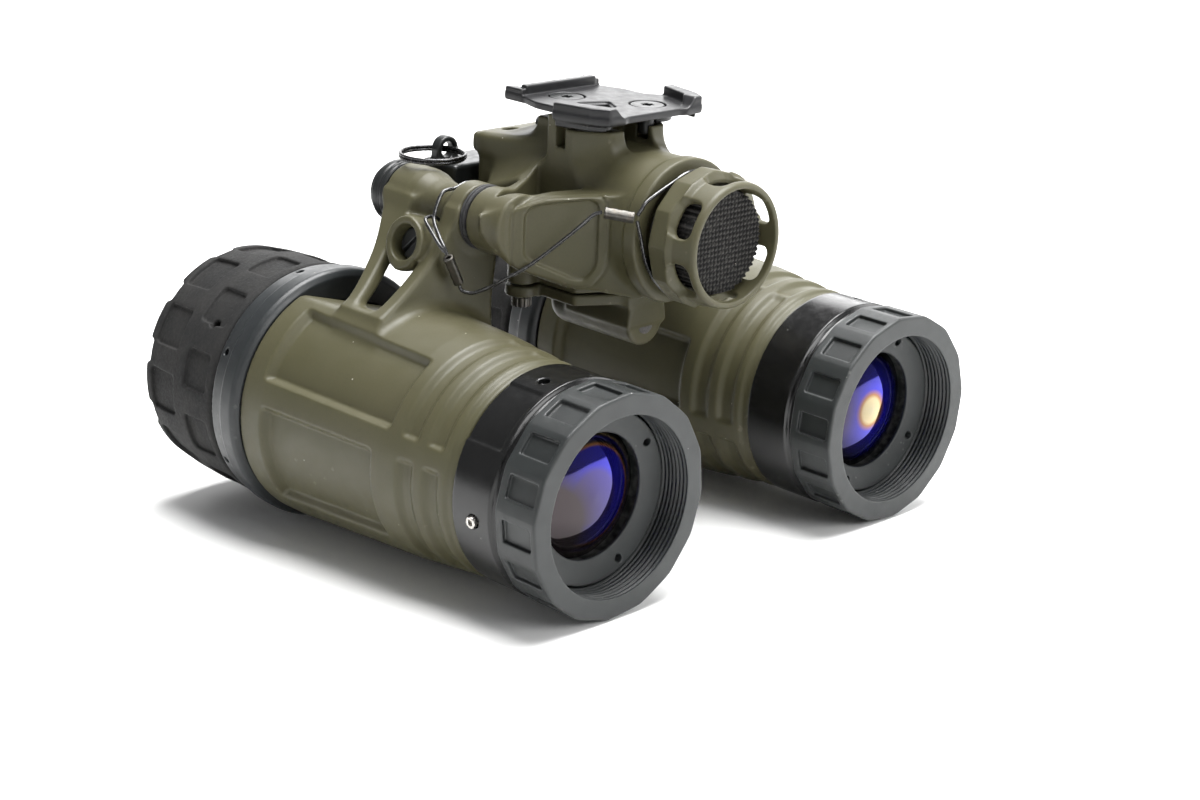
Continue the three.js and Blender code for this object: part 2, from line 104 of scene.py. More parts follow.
# ---- meshes ----
def signed_volume(mesh):
    mesh.calc_loop_triangles()
    corners = np.empty(len(mesh.loop_triangles) * 3, np.int32)
    mesh.loop_triangles.foreach_get("vertices", corners)
    points = np.empty(len(mesh.vertices) * 3)
    mesh.vertices.foreach_get("co", points)
    a, b, c = points.reshape(-1, 3)[corners.reshape(-1, 3)].transpose(1, 0, 2)
    return np.einsum("ij,ij->", a, np.cross(b, c)) / 6


def mesh_object(name, points, faces, look, body, to_part=TUBE_FRAME, normals=None, nodes=(), slot=None,
                crease=35):
    """A closed mesh given in mm, stored in metres with its faces turned outwards."""
    turn = np.array(to_part.to_3x3())
    placed = points @ turn.T + np.array(to_part.translation)
    mesh = bpy.data.meshes.new(name)
    mesh.from_pydata(placed, [], faces)
    if signed_volume(mesh) < 0:
        mesh.flip_normals()
    mesh.polygons.foreach_set("use_smooth", [True] * len(mesh.polygons))
    if normals is None:
        mesh.set_sharp_from_angle(angle=math.radians(crease))
    else:
        turned = normals @ turn.T
        turned /= np.linalg.norm(turned, axis=1)[:, None]
        mesh.normals_split_custom_set_from_vertices(turned)
    mesh.materials.append(look)
    piece = bpy.data.objects.new(name, mesh)
    bpy.context.collection.objects.link(piece)
    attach(piece, body)
    if nodes:
        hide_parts(*nodes)
    return piece


def replacing(node, points, faces, look, body, **options):
    """A piece that is seen in place of one CAD node and is named after it."""
    return mesh_object(node + "_look", points, faces, look, body, nodes=[node], **options)


def sampled(field, at):
    """Trilinear value of a grid at points given in grid steps."""
    at = np.clip(at, 0, np.array(field.shape) - 1.001)
    low = at.astype(int)
    t = (at - low).astype(np.float32)
    total = 0
    for corner in np.ndindex(2, 2, 2):
        weight = np.prod([t[:, k] if corner[k] else 1 - t[:, k] for k in range(3)], axis=0)
        total = total + weight * field[tuple((low + corner).T)]
    return total


def meshed(shape, low, high, step):
    """Points, faces and normals of the surface where shape(x, y, z) is zero."""
    axes = [np.arange(a - step, b + 2 * step, step, dtype=np.float32) for a, b in zip(low, high)]
    x, y, z = np.meshgrid(*axes, indexing="ij", sparse=True)
    field = np.broadcast_to(shape(x, y, z), [len(axis) for axis in axes])
    field = np.clip(field / step, -3, 3).astype(np.float32)
    volume = openvdb.FloatGrid(3.0)
    volume.copyFromArray(field)
    points, triangles, quads = volume.convertToPolygons(0.0, 0.0)
    faces = quads.astype(np.int64) if len(triangles) == 0 else quads.tolist() + triangles.tolist()
    normals = np.zeros_like(points)
    for k in range(3):
        shift = np.zeros(3, np.float32)
        shift[k] = 0.6
        normals[:, k] = sampled(field, points + shift) - sampled(field, points - shift)
    normals[np.linalg.norm(normals, axis=1) < 1e-6] = (0, 0, 1)
    origin = np.array([axis[0] for axis in axes])
    return points * step + origin, faces, normals


def cast(node, shape, low, high, step, look, body, **options):
    points, faces, normals = meshed(shape, low, high, step)
    return replacing(node, points, faces, look, body, normals=normals, **options)


def cast_pair(name, shape, low, high, step, look, part, **options):
    """The same piece on both pods. part names the body: pod, objective or eyepiece."""
    points, faces, normals = meshed(shape, low, high, step)
    for side, sign in SIDES:
        replacing(f"{side}_{name}", points, faces, look, f"{side}_{part}", to_part=pod_frame(sign),
                  normals=normals, **options)


def lathe(profile, steps=128, about=(0, 0)):
    """Points and faces of a closed profile [(radius, y)] turned about Y."""
    rows = np.array(profile, float)
    angles = np.arange(steps) * 2 * math.pi / steps
    radius = np.repeat(rows[:, :1], steps, axis=1)
    along = np.repeat(rows[:, 1:], steps, axis=1)
    across = about[0] + radius * np.cos(angles)
    up = about[1] + radius * np.sin(angles)
    points = np.stack([across, along, up], axis=2)
    count = len(rows)
    closed = rows[0, 0] > 1e-6
    faces = []
    for i in range(count if closed else count - 1):
        j = (i + 1) % count
        for k in range(steps):
            m = (k + 1) % steps
            faces.append([i * steps + k, j * steps + k, j * steps + m, i * steps + m])
    points = points.reshape(-1, 3)
    return (points, faces) if closed else welded(points, faces)


def welded(points, faces):
    """Merges points that coincide, and drops the corners this makes equal."""
    found = np.unique(np.round(points, 6), axis=0, return_index=True, return_inverse=True)
    index, inverse = found[1], found[2].ravel()
    clean = []
    for face in faces:
        corners = []
        for v in inverse[face]:
            if int(v) not in corners:
                corners.append(int(v))
        if len(corners) > 2:
            clean.append(corners)
    return points[index], clean


def rounded(outline, radius):
    """The outline with each corner replaced by a short curve."""
    radii = radius if isinstance(radius, (list, tuple)) else [radius] * len(outline)
    result = []
    for i, point in enumerate(outline):
        p, a, b = (np.array(q, float) for q in (point, outline[i - 1], outline[(i + 1) % len(outline)]))
        to_a, to_b = a - p, b - p
        cut = min(radii[i], 0.45 * np.linalg.norm(to_a), 0.45 * np.linalg.norm(to_b))
        if cut < 0.02:
            result.append(tuple(p))
            continue
        start = p + to_a / np.linalg.norm(to_a) * cut
        end = p + to_b / np.linalg.norm(to_b) * cut
        for t in (0, 0.25, 0.5, 0.75, 1):
            result.append(tuple((1 - t) ** 2 * start + 2 * t * (1 - t) * p + t * t * end))
    return result


# ---- distance fields ----
def both(a, b, k=0.5):
    """Smooth intersection."""
    h = np.clip(0.5 + 0.5 * (a - b) / k, 0, 1)
    return b * (1 - h) + a * h + k * h * (1 - h)


def merge(a, b, k=0.5):
    """Smooth union."""
    return -both(-a, -b, k)


def carve(a, b, k=0.5):
    """a without b."""
    return both(a, -b, k)


def slab(t, low, high):
    return np.abs(t - (low + high) / 2) - (high - low) / 2


def polygon(outline, a, b):
    """Signed distance to a polygon in the plane, negative inside."""
    nearest = None
    inside = False
    for (ax, ay), (bx, by) in zip(outline, outline[1:] + outline[:1]):
        ex, ey = bx - ax, by - ay
        wx, wy = a - ax, b - ay
        t = np.clip((wx * ex + wy * ey) / (ex * ex + ey * ey), 0, 1)
        square = (wx - ex * t) ** 2 + (wy - ey * t) ** 2
        nearest = square if nearest is None else np.minimum(nearest, square)
        if abs(ey) > 1e-9:
            inside = inside ^ (((ay > b) != (by > b)) & (wx < ex * wy / ey))
    distance = np.sqrt(nearest)
    return np.where(inside, -distance, distance)


def prism(outline, a, b, t, low, high, k=0.5, corner=0.6):
    return both(polygon(rounded(outline, corner), a, b), slab(t, low, high), k)


def rod(a, b, centre, radius, t, low, high, k=0.5):
    return both(np.hypot(a - centre[0], b - centre[1]) - radius, slab(t, low, high), k)


def band(t, low, high, soft):
    """1 between low and high, fading to 0 over soft at both ends."""
    up = np.clip((t - low) / soft + 0.5, 0, 1)
    down = np.clip((high - t) / soft + 0.5, 0, 1)
    ramp = up * down
    return ramp * ramp * (3 - 2 * ramp)


def smooth_line(points, steps=6):
    """Catmull-Rom curve through the points."""
    p = np.array([points[0]] + list(points) + [points[-1]], float)
    result = []
    for i in range(1, len(p) - 2):
        for t in np.arange(steps) / steps:
            result.append(0.5 * (2 * p[i] + (p[i + 1] - p[i - 1]) * t
                                 + (2 * p[i - 1] - 5 * p[i] + 4 * p[i + 1] - p[i + 2]) * t * t
                                 + (3 * p[i] - p[i - 1] - 3 * p[i + 1] + p[i + 2]) * t ** 3))
    result.append(p[-2])
    return [tuple(q) for q in result]


# ---- materials ----
class Finish:
    """A Principled material whose colour, roughness and bump come from noise measured in millimetres."""

    def __init__(self, name, colour, rough, metal=0.0, coat=0.0, specular=0.5):
        self.material = bpy.data.materials.new(name)
        self.material.use_nodes = True
        self.tree = self.material.node_tree
        self.shader = self.tree.nodes["Principled BSDF"]
        self.shader.inputs["Metallic"].default_value = metal
        self.shader.inputs["Coat Weight"].default_value = coat
        self.shader.inputs["Coat Roughness"].default_value = 0.15
        self.shader.inputs["Specular IOR Level"].default_value = specular
        place = self.node("ShaderNodeTexCoord")
        scale = self.node("ShaderNodeVectorMath", operation="SCALE")
        scale.inputs["Scale"].default_value = 1000
        self.link(place.outputs["Object"], scale.inputs[0])
        self.place = scale.outputs[0]
        self.colour = self.rgb(colour)
        self.rough = rough
        self.height = None

    def node(self, kind, **settings):
        made = self.tree.nodes.new(kind)
        for key, value in settings.items():
            setattr(made, key, value)
        return made

    def link(self, output, target):
        self.tree.links.new(output, target)

    def rgb(self, colour):
        made = self.node("ShaderNodeRGB")
        made.outputs[0].default_value = (*colour, 1)
        return made.outputs[0]

    def noise(self, per_mm, detail=3, rough=0.55, stretch=None):
        made = self.node("ShaderNodeTexNoise")
        made.inputs["Scale"].default_value = per_mm
        made.inputs["Detail"].default_value = detail
        made.inputs["Roughness"].default_value = rough
        source = self.place
        if stretch:
            mapping = self.node("ShaderNodeMapping")
            mapping.inputs["Scale"].default_value = stretch
            self.link(source, mapping.inputs["Vector"])
            source = mapping.outputs[0]
        self.link(source, made.inputs["Vector"])
        return made.outputs["Fac"]

    def ramp(self, value, low, high, out_low=0.0, out_high=1.0):
        made = self.node("ShaderNodeMapRange")
        limits = {"From Min": low, "From Max": high, "To Min": out_low, "To Max": out_high}
        for key, number in limits.items():
            made.inputs[key].default_value = number
        self.link(value, made.inputs["Value"])
        return made.outputs[0]

    def math(self, operation, a, b):
        made = self.node("ShaderNodeMath", operation=operation)
        for k, value in enumerate((a, b)):
            if isinstance(value, (int, float)):
                made.inputs[k].default_value = value
            else:
                self.link(value, made.inputs[k])
        return made.outputs[0]

    def weave(self, pitch):
        """Bumps on a square grid across X and Z."""
        parts = self.node("ShaderNodeSeparateXYZ")
        self.link(self.place, parts.inputs[0])
        waves = []
        for k in (0, 2):
            phase = self.math("MULTIPLY", parts.outputs[k], math.pi / pitch)
            waves.append(self.math("SINE", phase, 0))
        return self.math("ABSOLUTE", self.math("MULTIPLY", *waves), 0)

    def tint(self, factor, colour):
        """Mixes the colour towards another by a factor from 0 to 1."""
        made = self.node("ShaderNodeMix", data_type="RGBA")
        self.link(factor, made.inputs[0])
        self.link(self.colour, made.inputs[6])
        made.inputs[7].default_value = (*colour, 1)
        self.colour = made.outputs[2]

    def raise_by(self, value, amount):
        part = self.math("MULTIPLY", value, amount)
        self.height = part if self.height is None else self.math("ADD", self.height, part)

    def specks(self, per_mm, size, colour, share=0.5):
        """Scattered dust or paint chips, size in cells."""
        cells = self.node("ShaderNodeTexVoronoi")
        cells.inputs["Scale"].default_value = per_mm
        self.link(self.place, cells.inputs["Vector"])
        spot = self.ramp(cells.outputs["Distance"], size, size * 0.5)
        chosen = self.ramp(self.noise(per_mm * 0.6, 1), 1 - share, 1 - share + 0.02)
        self.tint(self.math("MULTIPLY", spot, chosen), colour)

    def worn_edges(self, colour, low=0.53, high=0.6, amount=0.6):
        geometry = self.node("ShaderNodeNewGeometry")
        edge = self.ramp(geometry.outputs["Pointiness"], low, high, 0, amount)
        patchy = self.ramp(self.noise(0.7, 4), 0.42, 0.62)
        self.tint(self.math("MULTIPLY", edge, patchy), colour)

    def done(self, bump=1.0):
        self.link(self.colour, self.shader.inputs["Base Color"])
        if isinstance(self.rough, (int, float)):
            self.shader.inputs["Roughness"].default_value = self.rough
        else:
            self.link(self.rough, self.shader.inputs["Roughness"])
        if self.height is not None:
            made = self.node("ShaderNodeBump")
            made.inputs["Strength"].default_value = bump
            made.inputs["Distance"].default_value = 0.001
            self.link(self.height, made.inputs["Height"])
            self.link(made.outputs[0], self.shader.inputs["Normal"])
        return self.material


def olive_coat():
    """Satin ceramic coating over machined aluminium: faint mottling, fine grain, dust and rubbed edges."""
    f = Finish("olive_coat", (0.060, 0.056, 0.028), 0.5, specular=0.34)
    f.tint(f.ramp(f.noise(0.05, 4), 0.35, 0.7, 0, 0.5), (0.080, 0.073, 0.042))
    f.tint(f.ramp(f.noise(2.5, 3), 0.45, 0.75, 0, 0.35), (0.048, 0.047, 0.026))
    f.worn_edges((0.17, 0.16, 0.11), amount=0.45)
    f.specks(0.22, 0.045, (0.45, 0.43, 0.36))
    f.rough = f.ramp(f.noise(0.25, 4), 0.3, 0.7, 0.40, 0.52)
    f.raise_by(f.noise(9, 2), 0.012)
    return f.done()


def black_coat(name="black_coat", colour=(0.010, 0.011, 0.011), rough=(0.30, 0.44), wear=0.5, grain=0.010):
    """Hard-anodised black: slightly rubbed edges and a very fine grain."""
    f = Finish(name, colour, 0.4, specular=0.42)
    f.tint(f.ramp(f.noise(0.12, 4), 0.35, 0.7, 0, 0.6), tuple(c * 1.6 for c in colour))
    f.worn_edges((0.10, 0.10, 0.096), amount=wear)
    f.specks(0.3, 0.05, (0.30, 0.30, 0.28), share=0.45)
    f.rough = f.ramp(f.noise(0.5, 4), 0.3, 0.7, *rough)
    f.raise_by(f.noise(7, 2), grain)
    return f.done()


def grip_rubber():
    """Moulded rubber with flow marks and a dusty bloom."""
    f = Finish("grip_rubber", (0.013, 0.013, 0.013), 0.8, specular=0.25)
    f.tint(f.ramp(f.noise(0.15, 5), 0.35, 0.7, 0, 0.8), (0.024, 0.023, 0.022))
    f.specks(1.2, 0.10, (0.08, 0.075, 0.07), share=0.4)
    f.worn_edges((0.06, 0.058, 0.055), amount=0.5)
    f.rough = f.ramp(f.noise(1.5, 4), 0.3, 0.7, 0.68, 0.88)
    f.raise_by(f.noise(1.1, 6, 0.7), 0.10)
    f.raise_by(f.noise(5, 3, 0.7, stretch=(1, 0.25, 1)), 0.06)
    return f.done()


def bare_metal(name, colour, rough=(0.22, 0.42), stain=(0.12, 0.10, 0.08)):
    """Bare metal with fine scratches and darker stains."""
    f = Finish(name, colour, 0.3, metal=1.0)
    f.tint(f.ramp(f.noise(1.2, 5), 0.5, 0.75, 0, 0.7), stain)
    f.rough = f.ramp(f.noise(3, 4), 0.3, 0.7, *rough)
    f.raise_by(f.noise(6, 4, stretch=(1, 6, 1)), 0.02)
    return f.done()


def soft_rubber():
    f = Finish("seal_rubber", (0.022, 0.022, 0.023), 0.6, specular=0.4)
    f.tint(f.ramp(f.noise(0.8, 4), 0.4, 0.7, 0, 0.6), (0.05, 0.05, 0.05))
    f.rough = f.ramp(f.noise(2, 3), 0.3, 0.7, 0.5, 0.75)
    f.raise_by(f.noise(4, 3), 0.03)
    return f.done()


def potting():
    """Grey sealing compound with a grainy, slightly lumpy face."""
    f = Finish("potting", (0.060, 0.058, 0.055), 0.6, specular=0.4)
    f.tint(f.ramp(f.noise(2.2, 5), 0.45, 0.65, 0, 0.8), (0.11, 0.10, 0.09))
    f.raise_by(f.noise(2.5, 5, 0.7), 0.12)
    return f.done()


def wire_coat():
    """Clear-coated stranded wire: dark strands under a glossy skin."""
    f = Finish("wire_coat", (0.012, 0.012, 0.013), 0.3, metal=0.4, coat=1.0)
    f.tint(f.ramp(f.noise(1.5, 3), 0.5, 0.7, 0, 0.6), (0.05, 0.05, 0.05))
    f.rough = f.ramp(f.noise(4, 2), 0.3, 0.7, 0.22, 0.38)
    return f.done()


OLIVE = olive_coat()
BLACK = black_coat()
GLOSS = black_coat("gloss_black", (0.005, 0.005, 0.005), (0.14, 0.26), wear=0.25)
FOCUS = black_coat("focus_black", (0.015, 0.017, 0.017), (0.36, 0.48), wear=0.6, grain=0.035)
FLANGE = black_coat("flange_grey", (0.014, 0.016, 0.017), (0.34, 0.46), wear=0.3)
SHOE = black_coat("shoe_black", (0.007, 0.007, 0.008), (0.34, 0.46), wear=0.9)
RUBBER = grip_rubber()
SEAL = soft_rubber()
STEEL = bare_metal("steel", (0.55, 0.53, 0.50))
CRIMP = bare_metal("crimp_steel", (0.10, 0.096, 0.088), (0.3, 0.5))
RING_STEEL = bare_metal("black_steel", (0.07, 0.07, 0.072), (0.2, 0.35), (0.2, 0.19, 0.18))
BRASS = bare_metal("brass", (0.50, 0.31, 0.17), (0.3, 0.5))
POTTING = potting()
WIRE = wire_coat()


# ---- tube pods ----
ROOF_Z = 38.5
WEB = smooth_line([(HX - HINGE_R, HZ), (-4.6, ROOF_Z), (-6.6, 33.5), (-9.6, 28.5), (-13, 24),
                   (-16.4, 20.4)])
RING_AT = (64.8, 35.3)


def pod_shape(x, y, z):
    """Tube body with sunk panels, the hollow arm on top of it, and the hinge barrel above that."""
    radius = np.hypot(x, z)
    angle = np.degrees(np.arctan2(z, np.abs(x)))
    outer = np.interp(y, [BODY_Y, 30, 42, 70, 76, 83], [21.6, 22.3, 23.5, 24.9, 25.3, 25.3])
    pocket = 1.7 * band(angle, 7, 44, 3.2) * band(y, 41, 76.5, 1.8)
    pocket = pocket + 1.7 * band(angle, -54, -7, 3.2) * band(y, 44.5, 75.5, 1.8)
    clear_of_rib = 1 - band(angle, -6, 6, 3)
    for groove_y in (28.6, 35.2):
        depth = 0.85 * band(y, groove_y - 1.8, groove_y + 1.6, 1.6)
        pocket = pocket + depth * band(angle, -68, 89, 8) * clear_of_rib
    pocket = pocket + 0.5 * band(y, 22, 24.6, 1.0)
    body = both(radius - outer + pocket, slab(y, BODY_Y, FLANGE_Y - GAP), 0.7)
    body = carve(body, both(FLAT_Z - z, 58 - y, 0.5), 0.8)
    arm = prism(WEB + [(-16.4, 16), (14.6, 16), (14.2, 21), (12, 28), (10.7, 36), (HX + HINGE_R, HZ)],
                x, z, y, ARM_Y, ARM_END_Y, 1.2, 0)
    behind = ((y - 69.5) * 20.3 - (z - FLAT_Z) * 9) / 22.2
    arm = both(arm, behind, 1.2)
    hollow = [(a + ARM_WALL, b) for a, b in WEB if b < ROOF_Z]
    hollow += [(-13, FLAT_Z), (24, FLAT_Z), (24, ROOF_Z), (-1.2, ROOF_Z)]
    arm = carve(arm, both(polygon(hollow, x, z), ARM_Y + ARM_WALL - y, 1.5), 1.0)
    above = both(slab(y, *NECK_Y), 40.4 - z, 1.0)
    arm = carve(arm, above, 0.8)
    shape = merge(body, arm, 2.6)
    neck = np.interp(y, [ARM_Y, 61, 62.2, 64, 67, 69.5, 72, 74, ARM_END_Y],
                     [HINGE_R, HINGE_R, 5.4, 4.8, 4.8, 5.3, 6.3, HINGE_R, HINGE_R])
    barrel = both(np.hypot(x - HX, z - HZ) - neck, slab(y, ARM_Y, ARM_END_Y), 0.7)
    shape = merge(shape, barrel, 2.0)
    rim = np.hypot(y - RING_AT[0], z - RING_AT[1])
    boss = both(rim - 5.3, slab(x, -8.6, -2), 0.5)
    shape = merge(shape, boss, 0.9)
    slot = both(both(slab(x, -12, 24), slab(y, NECK_Y[0], NECK_Y[0] + 2), 0.3), slab(z, 36.8, 41), 0.3)
    shape = carve(shape, both(slot, 5.3 - rim, 0.3), 0.4)
    window = prism([(60.8, 33), (60.8, 21.2), (66.8, 21.2), (69.4, 28), (71.2, 33.4), (68.6, 30.4),
                    (64.8, 29.2), (61.6, 30.6)], y, z, x, -22, 0, 0.5, 1.4)
    shape = carve(shape, window, 1.0)
    shape = carve(shape, both(rim - 3.6, x + 3.2, 0.3), 0.5)
    shape = carve(shape, radius - BORE_R, 0.3)
    return carve(shape, np.hypot(x - HX, z - HZ) - PIN_R - GAP, 0.3)


cast_pair("pod_housing", pod_shape, (-27, 22, -26), (26, 84, 51.5), 0.4, OLIVE, "pod", slot="olive_paint")


# ---- objective end ----
FACETS = 16


def faceted(angle, count, turn=0.0):
    """Angle from the middle of the nearest of count equal facets."""
    step = 2 * math.pi / count
    return (angle - turn + step / 2) % step - step / 2


def focus_shape(x, y, z):
    """Focus ring: flat facets round the outside with a sunk pad in each, and threads inside the mouth."""
    radius = np.hypot(x, z)
    turn = faceted(np.arctan2(z, x), FACETS)
    flat = radius * np.cos(turn) - FOCUS_R * 0.985
    ring = both(both(flat, radius - FOCUS_R, 0.3), slab(y, 0, 10.6), 0.5)
    pad = both(slab(radius * np.sin(turn), -2.9, 1.5), slab(y, 1.3, 8.7), 0.5)
    ring = carve(ring, both(pad, FOCUS_R - 1.15 - radius * np.cos(turn), 0.2), 0.3)
    thread = MOUTH_R + 0.5 * np.abs(((y - 0.4) / 0.95) % 1 - 0.5) * 2 * (y < 6.4)
    mouth = np.where(y < 7.2, thread - radius, np.where(y < 8.2, MOUTH_R - radius, 19 - radius))
    return both(ring, mouth, 0.25)


cast_pair("focus_ring", focus_shape, (-22.5, -0.2, -22.5), (22.5, 10.9, 22.5), 0.25, FOCUS, "objective",
          slot="black_anodised")


def retainer_shape(x, y, z):
    """Conical ring that holds the front lens, with two spanner holes."""
    radius = np.hypot(x, z)
    front = 7.4 - (radius - 12.4) * 1.4 / 4.7
    ring = both(both(radius - 17.1, 12.4 - radius, 0.2), both(front - y, y - 8.2, 0.2), 0.25)
    for across, up in ((10.2, 11.4), (-10.2, 11.4), (10.2, -11.4), (-10.2, -11.4)):
        ring = carve(ring, rod(x, z, (across, up), 0.75, y, 0, 8, 0.1), 0.15)
    return ring


cast_pair("lens_retainer", retainer_shape, (-17.4, 5.6, -17.4), (17.4, 8.5, 17.4), 0.2, FOCUS, "objective",
          slot="black_anodised")


def beside(degrees, x, z):
    """Distances along and across the radius that points this far above -X."""
    a = math.radians(degrees)
    return -x * math.cos(a) + z * math.sin(a), x * math.sin(a) + z * math.cos(a)


def clamp_shape(x, y, z):
    """Clamp ring with a sunk panel, the hole of its set screw and a second hole."""
    radius = np.hypot(x, z)
    angle = np.degrees(np.arctan2(z, -x))
    outer = 21.8 - 0.9 * band(y, 10, 12.0, 0.4) - 0.45 * band(angle, 16, 52, 2) * band(y, 13.2, 23, 0.6)
    ring = both(both(radius - outer, 19.6 - radius, 0.2), slab(y, CLAMP_Y, BODY_Y - GAP), 0.4)
    for degrees, size in ((-CLAMP_SCREW, 1.35), (61, 1.1)):
        out, side = beside(degrees, x, z)
        hole = both(np.hypot(side, y - CLAMP_SCREW_Y) - size, 20.6 - out, 0.1)
        ring = carve(ring, hole, 0.2)
    return ring


cast_pair("clamp_ring", clamp_shape, (-22.2, 10.8, -22.2), (22.2, 22.6, 22.2), 0.3, GLOSS, "pod",
          slot="gloss_black")


def flange_shape(x, y, z):
    """Flange ring between the body and the grip, with small holes round its rear edge."""
    radius = np.hypot(x, z)
    outer = np.interp(y, [83, 83.6, 84.4, 87.6, 88.0, 88.4, 91.6],
                      [25.2, 26.2, 26.6, 26.5, 26.15, 26.1, 25.7])
    ring = both(both(radius - outer, 20 - radius, 0.3), slab(y, FLANGE_Y, 91.6), 0.35)
    for degrees in (64, 11, -42, -120, 170):
        out, side = beside(degrees, x, z)
        ring = carve(ring, both(np.hypot(side, y - 90) - 0.75, 24.6 - out, 0.1), 0.2)
    return ring


cast_pair("flange_ring", flange_shape, (-26.8, 82.8, -26.8), (26.8, 91.8, 26.8), 0.3, FLANGE, "pod",
          slot="black_plastic")


def grip_shape(x, y, z):
    """Moulded eyepiece grip: a front row of sunk pads, a rear row of flats, and notches in the rim."""
    radius = np.hypot(x, z)
    angle = np.arctan2(z, -x)
    outer = np.interp(y, [92, 93, 100, 110, 116.5, LENGTH], [25.0, 25.6, 25.6, 25.1, 24.4, 22.8])
    grip = both(radius - outer, slab(y, EYEPIECE_Y, LENGTH), 0.9)
    inner = np.interp(y, [92, 107, 110, LENGTH], [16, 16, 16.6, 18.8])
    grip = both(grip, inner - radius, 0.6)
    front = faceted(angle, 11, math.radians(63))
    pad = both(slab(radius * np.sin(front), -4.2, 4.2), slab(y, 94.6, 102.2), 1.2)
    grip = carve(grip, both(pad, outer - 0.9 - radius, 0.3), 0.5)
    rear = faceted(angle, 11, math.radians(46))
    flat = both(slab(radius * np.sin(rear), -4.4, 4.4), slab(y, 106, 114.6), 1.2)
    grip = carve(grip, both(flat, outer - 0.9 - radius, 0.3), 0.5)
    flat = both(slab(radius * np.sin(front), -2.6, 2.6), slab(y, 115.6, 120), 1.0)
    grip = carve(grip, both(flat, outer - 0.8 - radius, 0.3), 0.5)
    a = math.radians(21)
    side = x * math.sin(a) + z * math.cos(a)
    hole = both(np.hypot(side, y - 98) - 1.0, 22.5 + x * math.cos(a) - z * math.sin(a), 0.1)
    return carve(grip, hole, 0.2)


cast_pair("eyepiece_grip", grip_shape, (-25.9, 91.8, -25.9), (25.9, 118.8, 25.9), 0.35, RUBBER, "eyepiece",
          slot="rubber")


# ---- lenses ----
LENS_RAMP_R = 14


def lens_look(name, centre, stops, shade_at=None):
    """Coated glass: colour by distance from the middle; the objectives' rings are painted reflections over
    a tint.
    """
    f = Finish(name, (0.02, 0.02, 0.05), 0.03, metal=0.85, coat=0.15)
    f.shader.inputs["Coat Roughness"].default_value = 0.01
    away = f.node("ShaderNodeVectorMath", operation="SUBTRACT")
    f.link(f.place, away.inputs[0])
    away.inputs[1].default_value = centre
    flat = f.node("ShaderNodeVectorMath", operation="MULTIPLY")
    f.link(away.outputs[0], flat.inputs[0])
    flat.inputs[1].default_value = (1, 0, 1)
    distance = f.node("ShaderNodeVectorMath", operation="LENGTH")
    f.link(flat.outputs[0], distance.inputs[0])
    ramp = f.node("ShaderNodeValToRGB")
    f.link(f.ramp(distance.outputs["Value"], 0, LENS_RAMP_R), ramp.inputs[0])
    elements = ramp.color_ramp.elements
    while len(elements) < len(stops):
        elements.new(0.5)
    for element, (radius, colour) in zip(elements, stops):
        element.position = radius / LENS_RAMP_R
        element.color = (*colour, 1)
    f.colour = ramp.outputs[0]
    # painted shade: the lens colour darkens towards shade_at, on a different side of each lens
    if shade_at is not None:
        toward = f.node("ShaderNodeVectorMath", operation="DISTANCE")
        f.link(f.place, toward.inputs[0])
        toward.inputs[1].default_value = shade_at
        f.tint(f.ramp(toward.outputs["Value"], 8, 20, 1, 0), (0.036, 0.028, 0.030))
    return f.done()


DARK, BLUE, AMBER = (0.004, 0.004, 0.005), (0.012, 0.010, 0.42), (0.30, 0.12, 0.03)
VIOLET, STRAW = (0.045, 0.032, 0.24), (0.42, 0.37, 0.22)
# painted reflections: rings of reflected colour on each objective lens, drawn over the tint of its coating
LENS_TINT_AND_REFLECTIONS = {
    "left": [(0, VIOLET), (5, VIOLET), (6.2, BLUE), (9.4, (0.010, 0.008, 0.30)), (9.8, AMBER), (10.3, DARK),
             (11.2, (0.012, 0.010, 0.10)), (11.6, (0.16, 0.12, 0.05)), (12.1, DARK)],
    "right": [(0, STRAW), (2.6, (0.50, 0.40, 0.20)), (3.4, AMBER), (4.6, BLUE), (8.4, (0.01, 0.01, 0.22)),
              (11.5, DARK)],
}
EYE_STOPS = [(0, (0.020, 0.035, 0.028)), (9, (0.012, 0.045, 0.036)), (LENS_RAMP_R, DARK)]
# where the painted shade sits on each objective lens
LENS_SHADE = {"left": (-9, 9, -7), "right": (15, 9, 6)}
LENS_PROFILE = smooth_line([(0, 6.9), (6, 7.5), (10.5, 9.0), (12.9, 10.3)]) + [(12.9, 13), (0, 13)]
EYE_PROFILE = [(0, 101.2), (15.3, 101.2), (15.3, 107)] + smooth_line([(14.8, 107.6), (9, 109.6), (0, 110)])


for side, sign in SIDES:
    place = pod_frame(sign)
    middle = place @ Vector((0, 9, 0)) * 1000
    shade_at = place @ Vector(LENS_SHADE[side]) * 1000
    look = lens_look(f"{side}_objective_tint_and_reflections", middle, LENS_TINT_AND_REFLECTIONS[side], shade_at)
    replacing(f"{side}_objective_lens", *lathe(LENS_PROFILE), look, f"{side}_objective", to_part=place,
              slot="coated_glass")
    look = lens_look(f"{side}_eyepiece_coating", middle, EYE_STOPS)
    replacing(f"{side}_eyepiece_lens", *lathe(EYE_PROFILE), look, f"{side}_eyepiece", to_part=place,
              slot="coated_glass")


# ---- hinges and screws ----
def slotted(x, y, z):
    """Arm screw in the ring of the arm: a domed head with a slot across it."""
    radius = np.hypot(y - RING_AT[0], z - RING_AT[1])
    head = both(radius - 3.2, slab(x, -6.2, -3.6), 0.6)
    slot = both(slab((y - RING_AT[0]) * 0.75 + (z - RING_AT[1]) * 0.66, -0.45, 0.45), x + 5.2, 0.1)
    return carve(head, slot, 0.25)


cast_pair("arm_screw", slotted, (-6.5, 61.3, 31.8), (-3.4, 68.3, 38.8), 0.12, BLACK, "pod",
          slot="black_anodised")


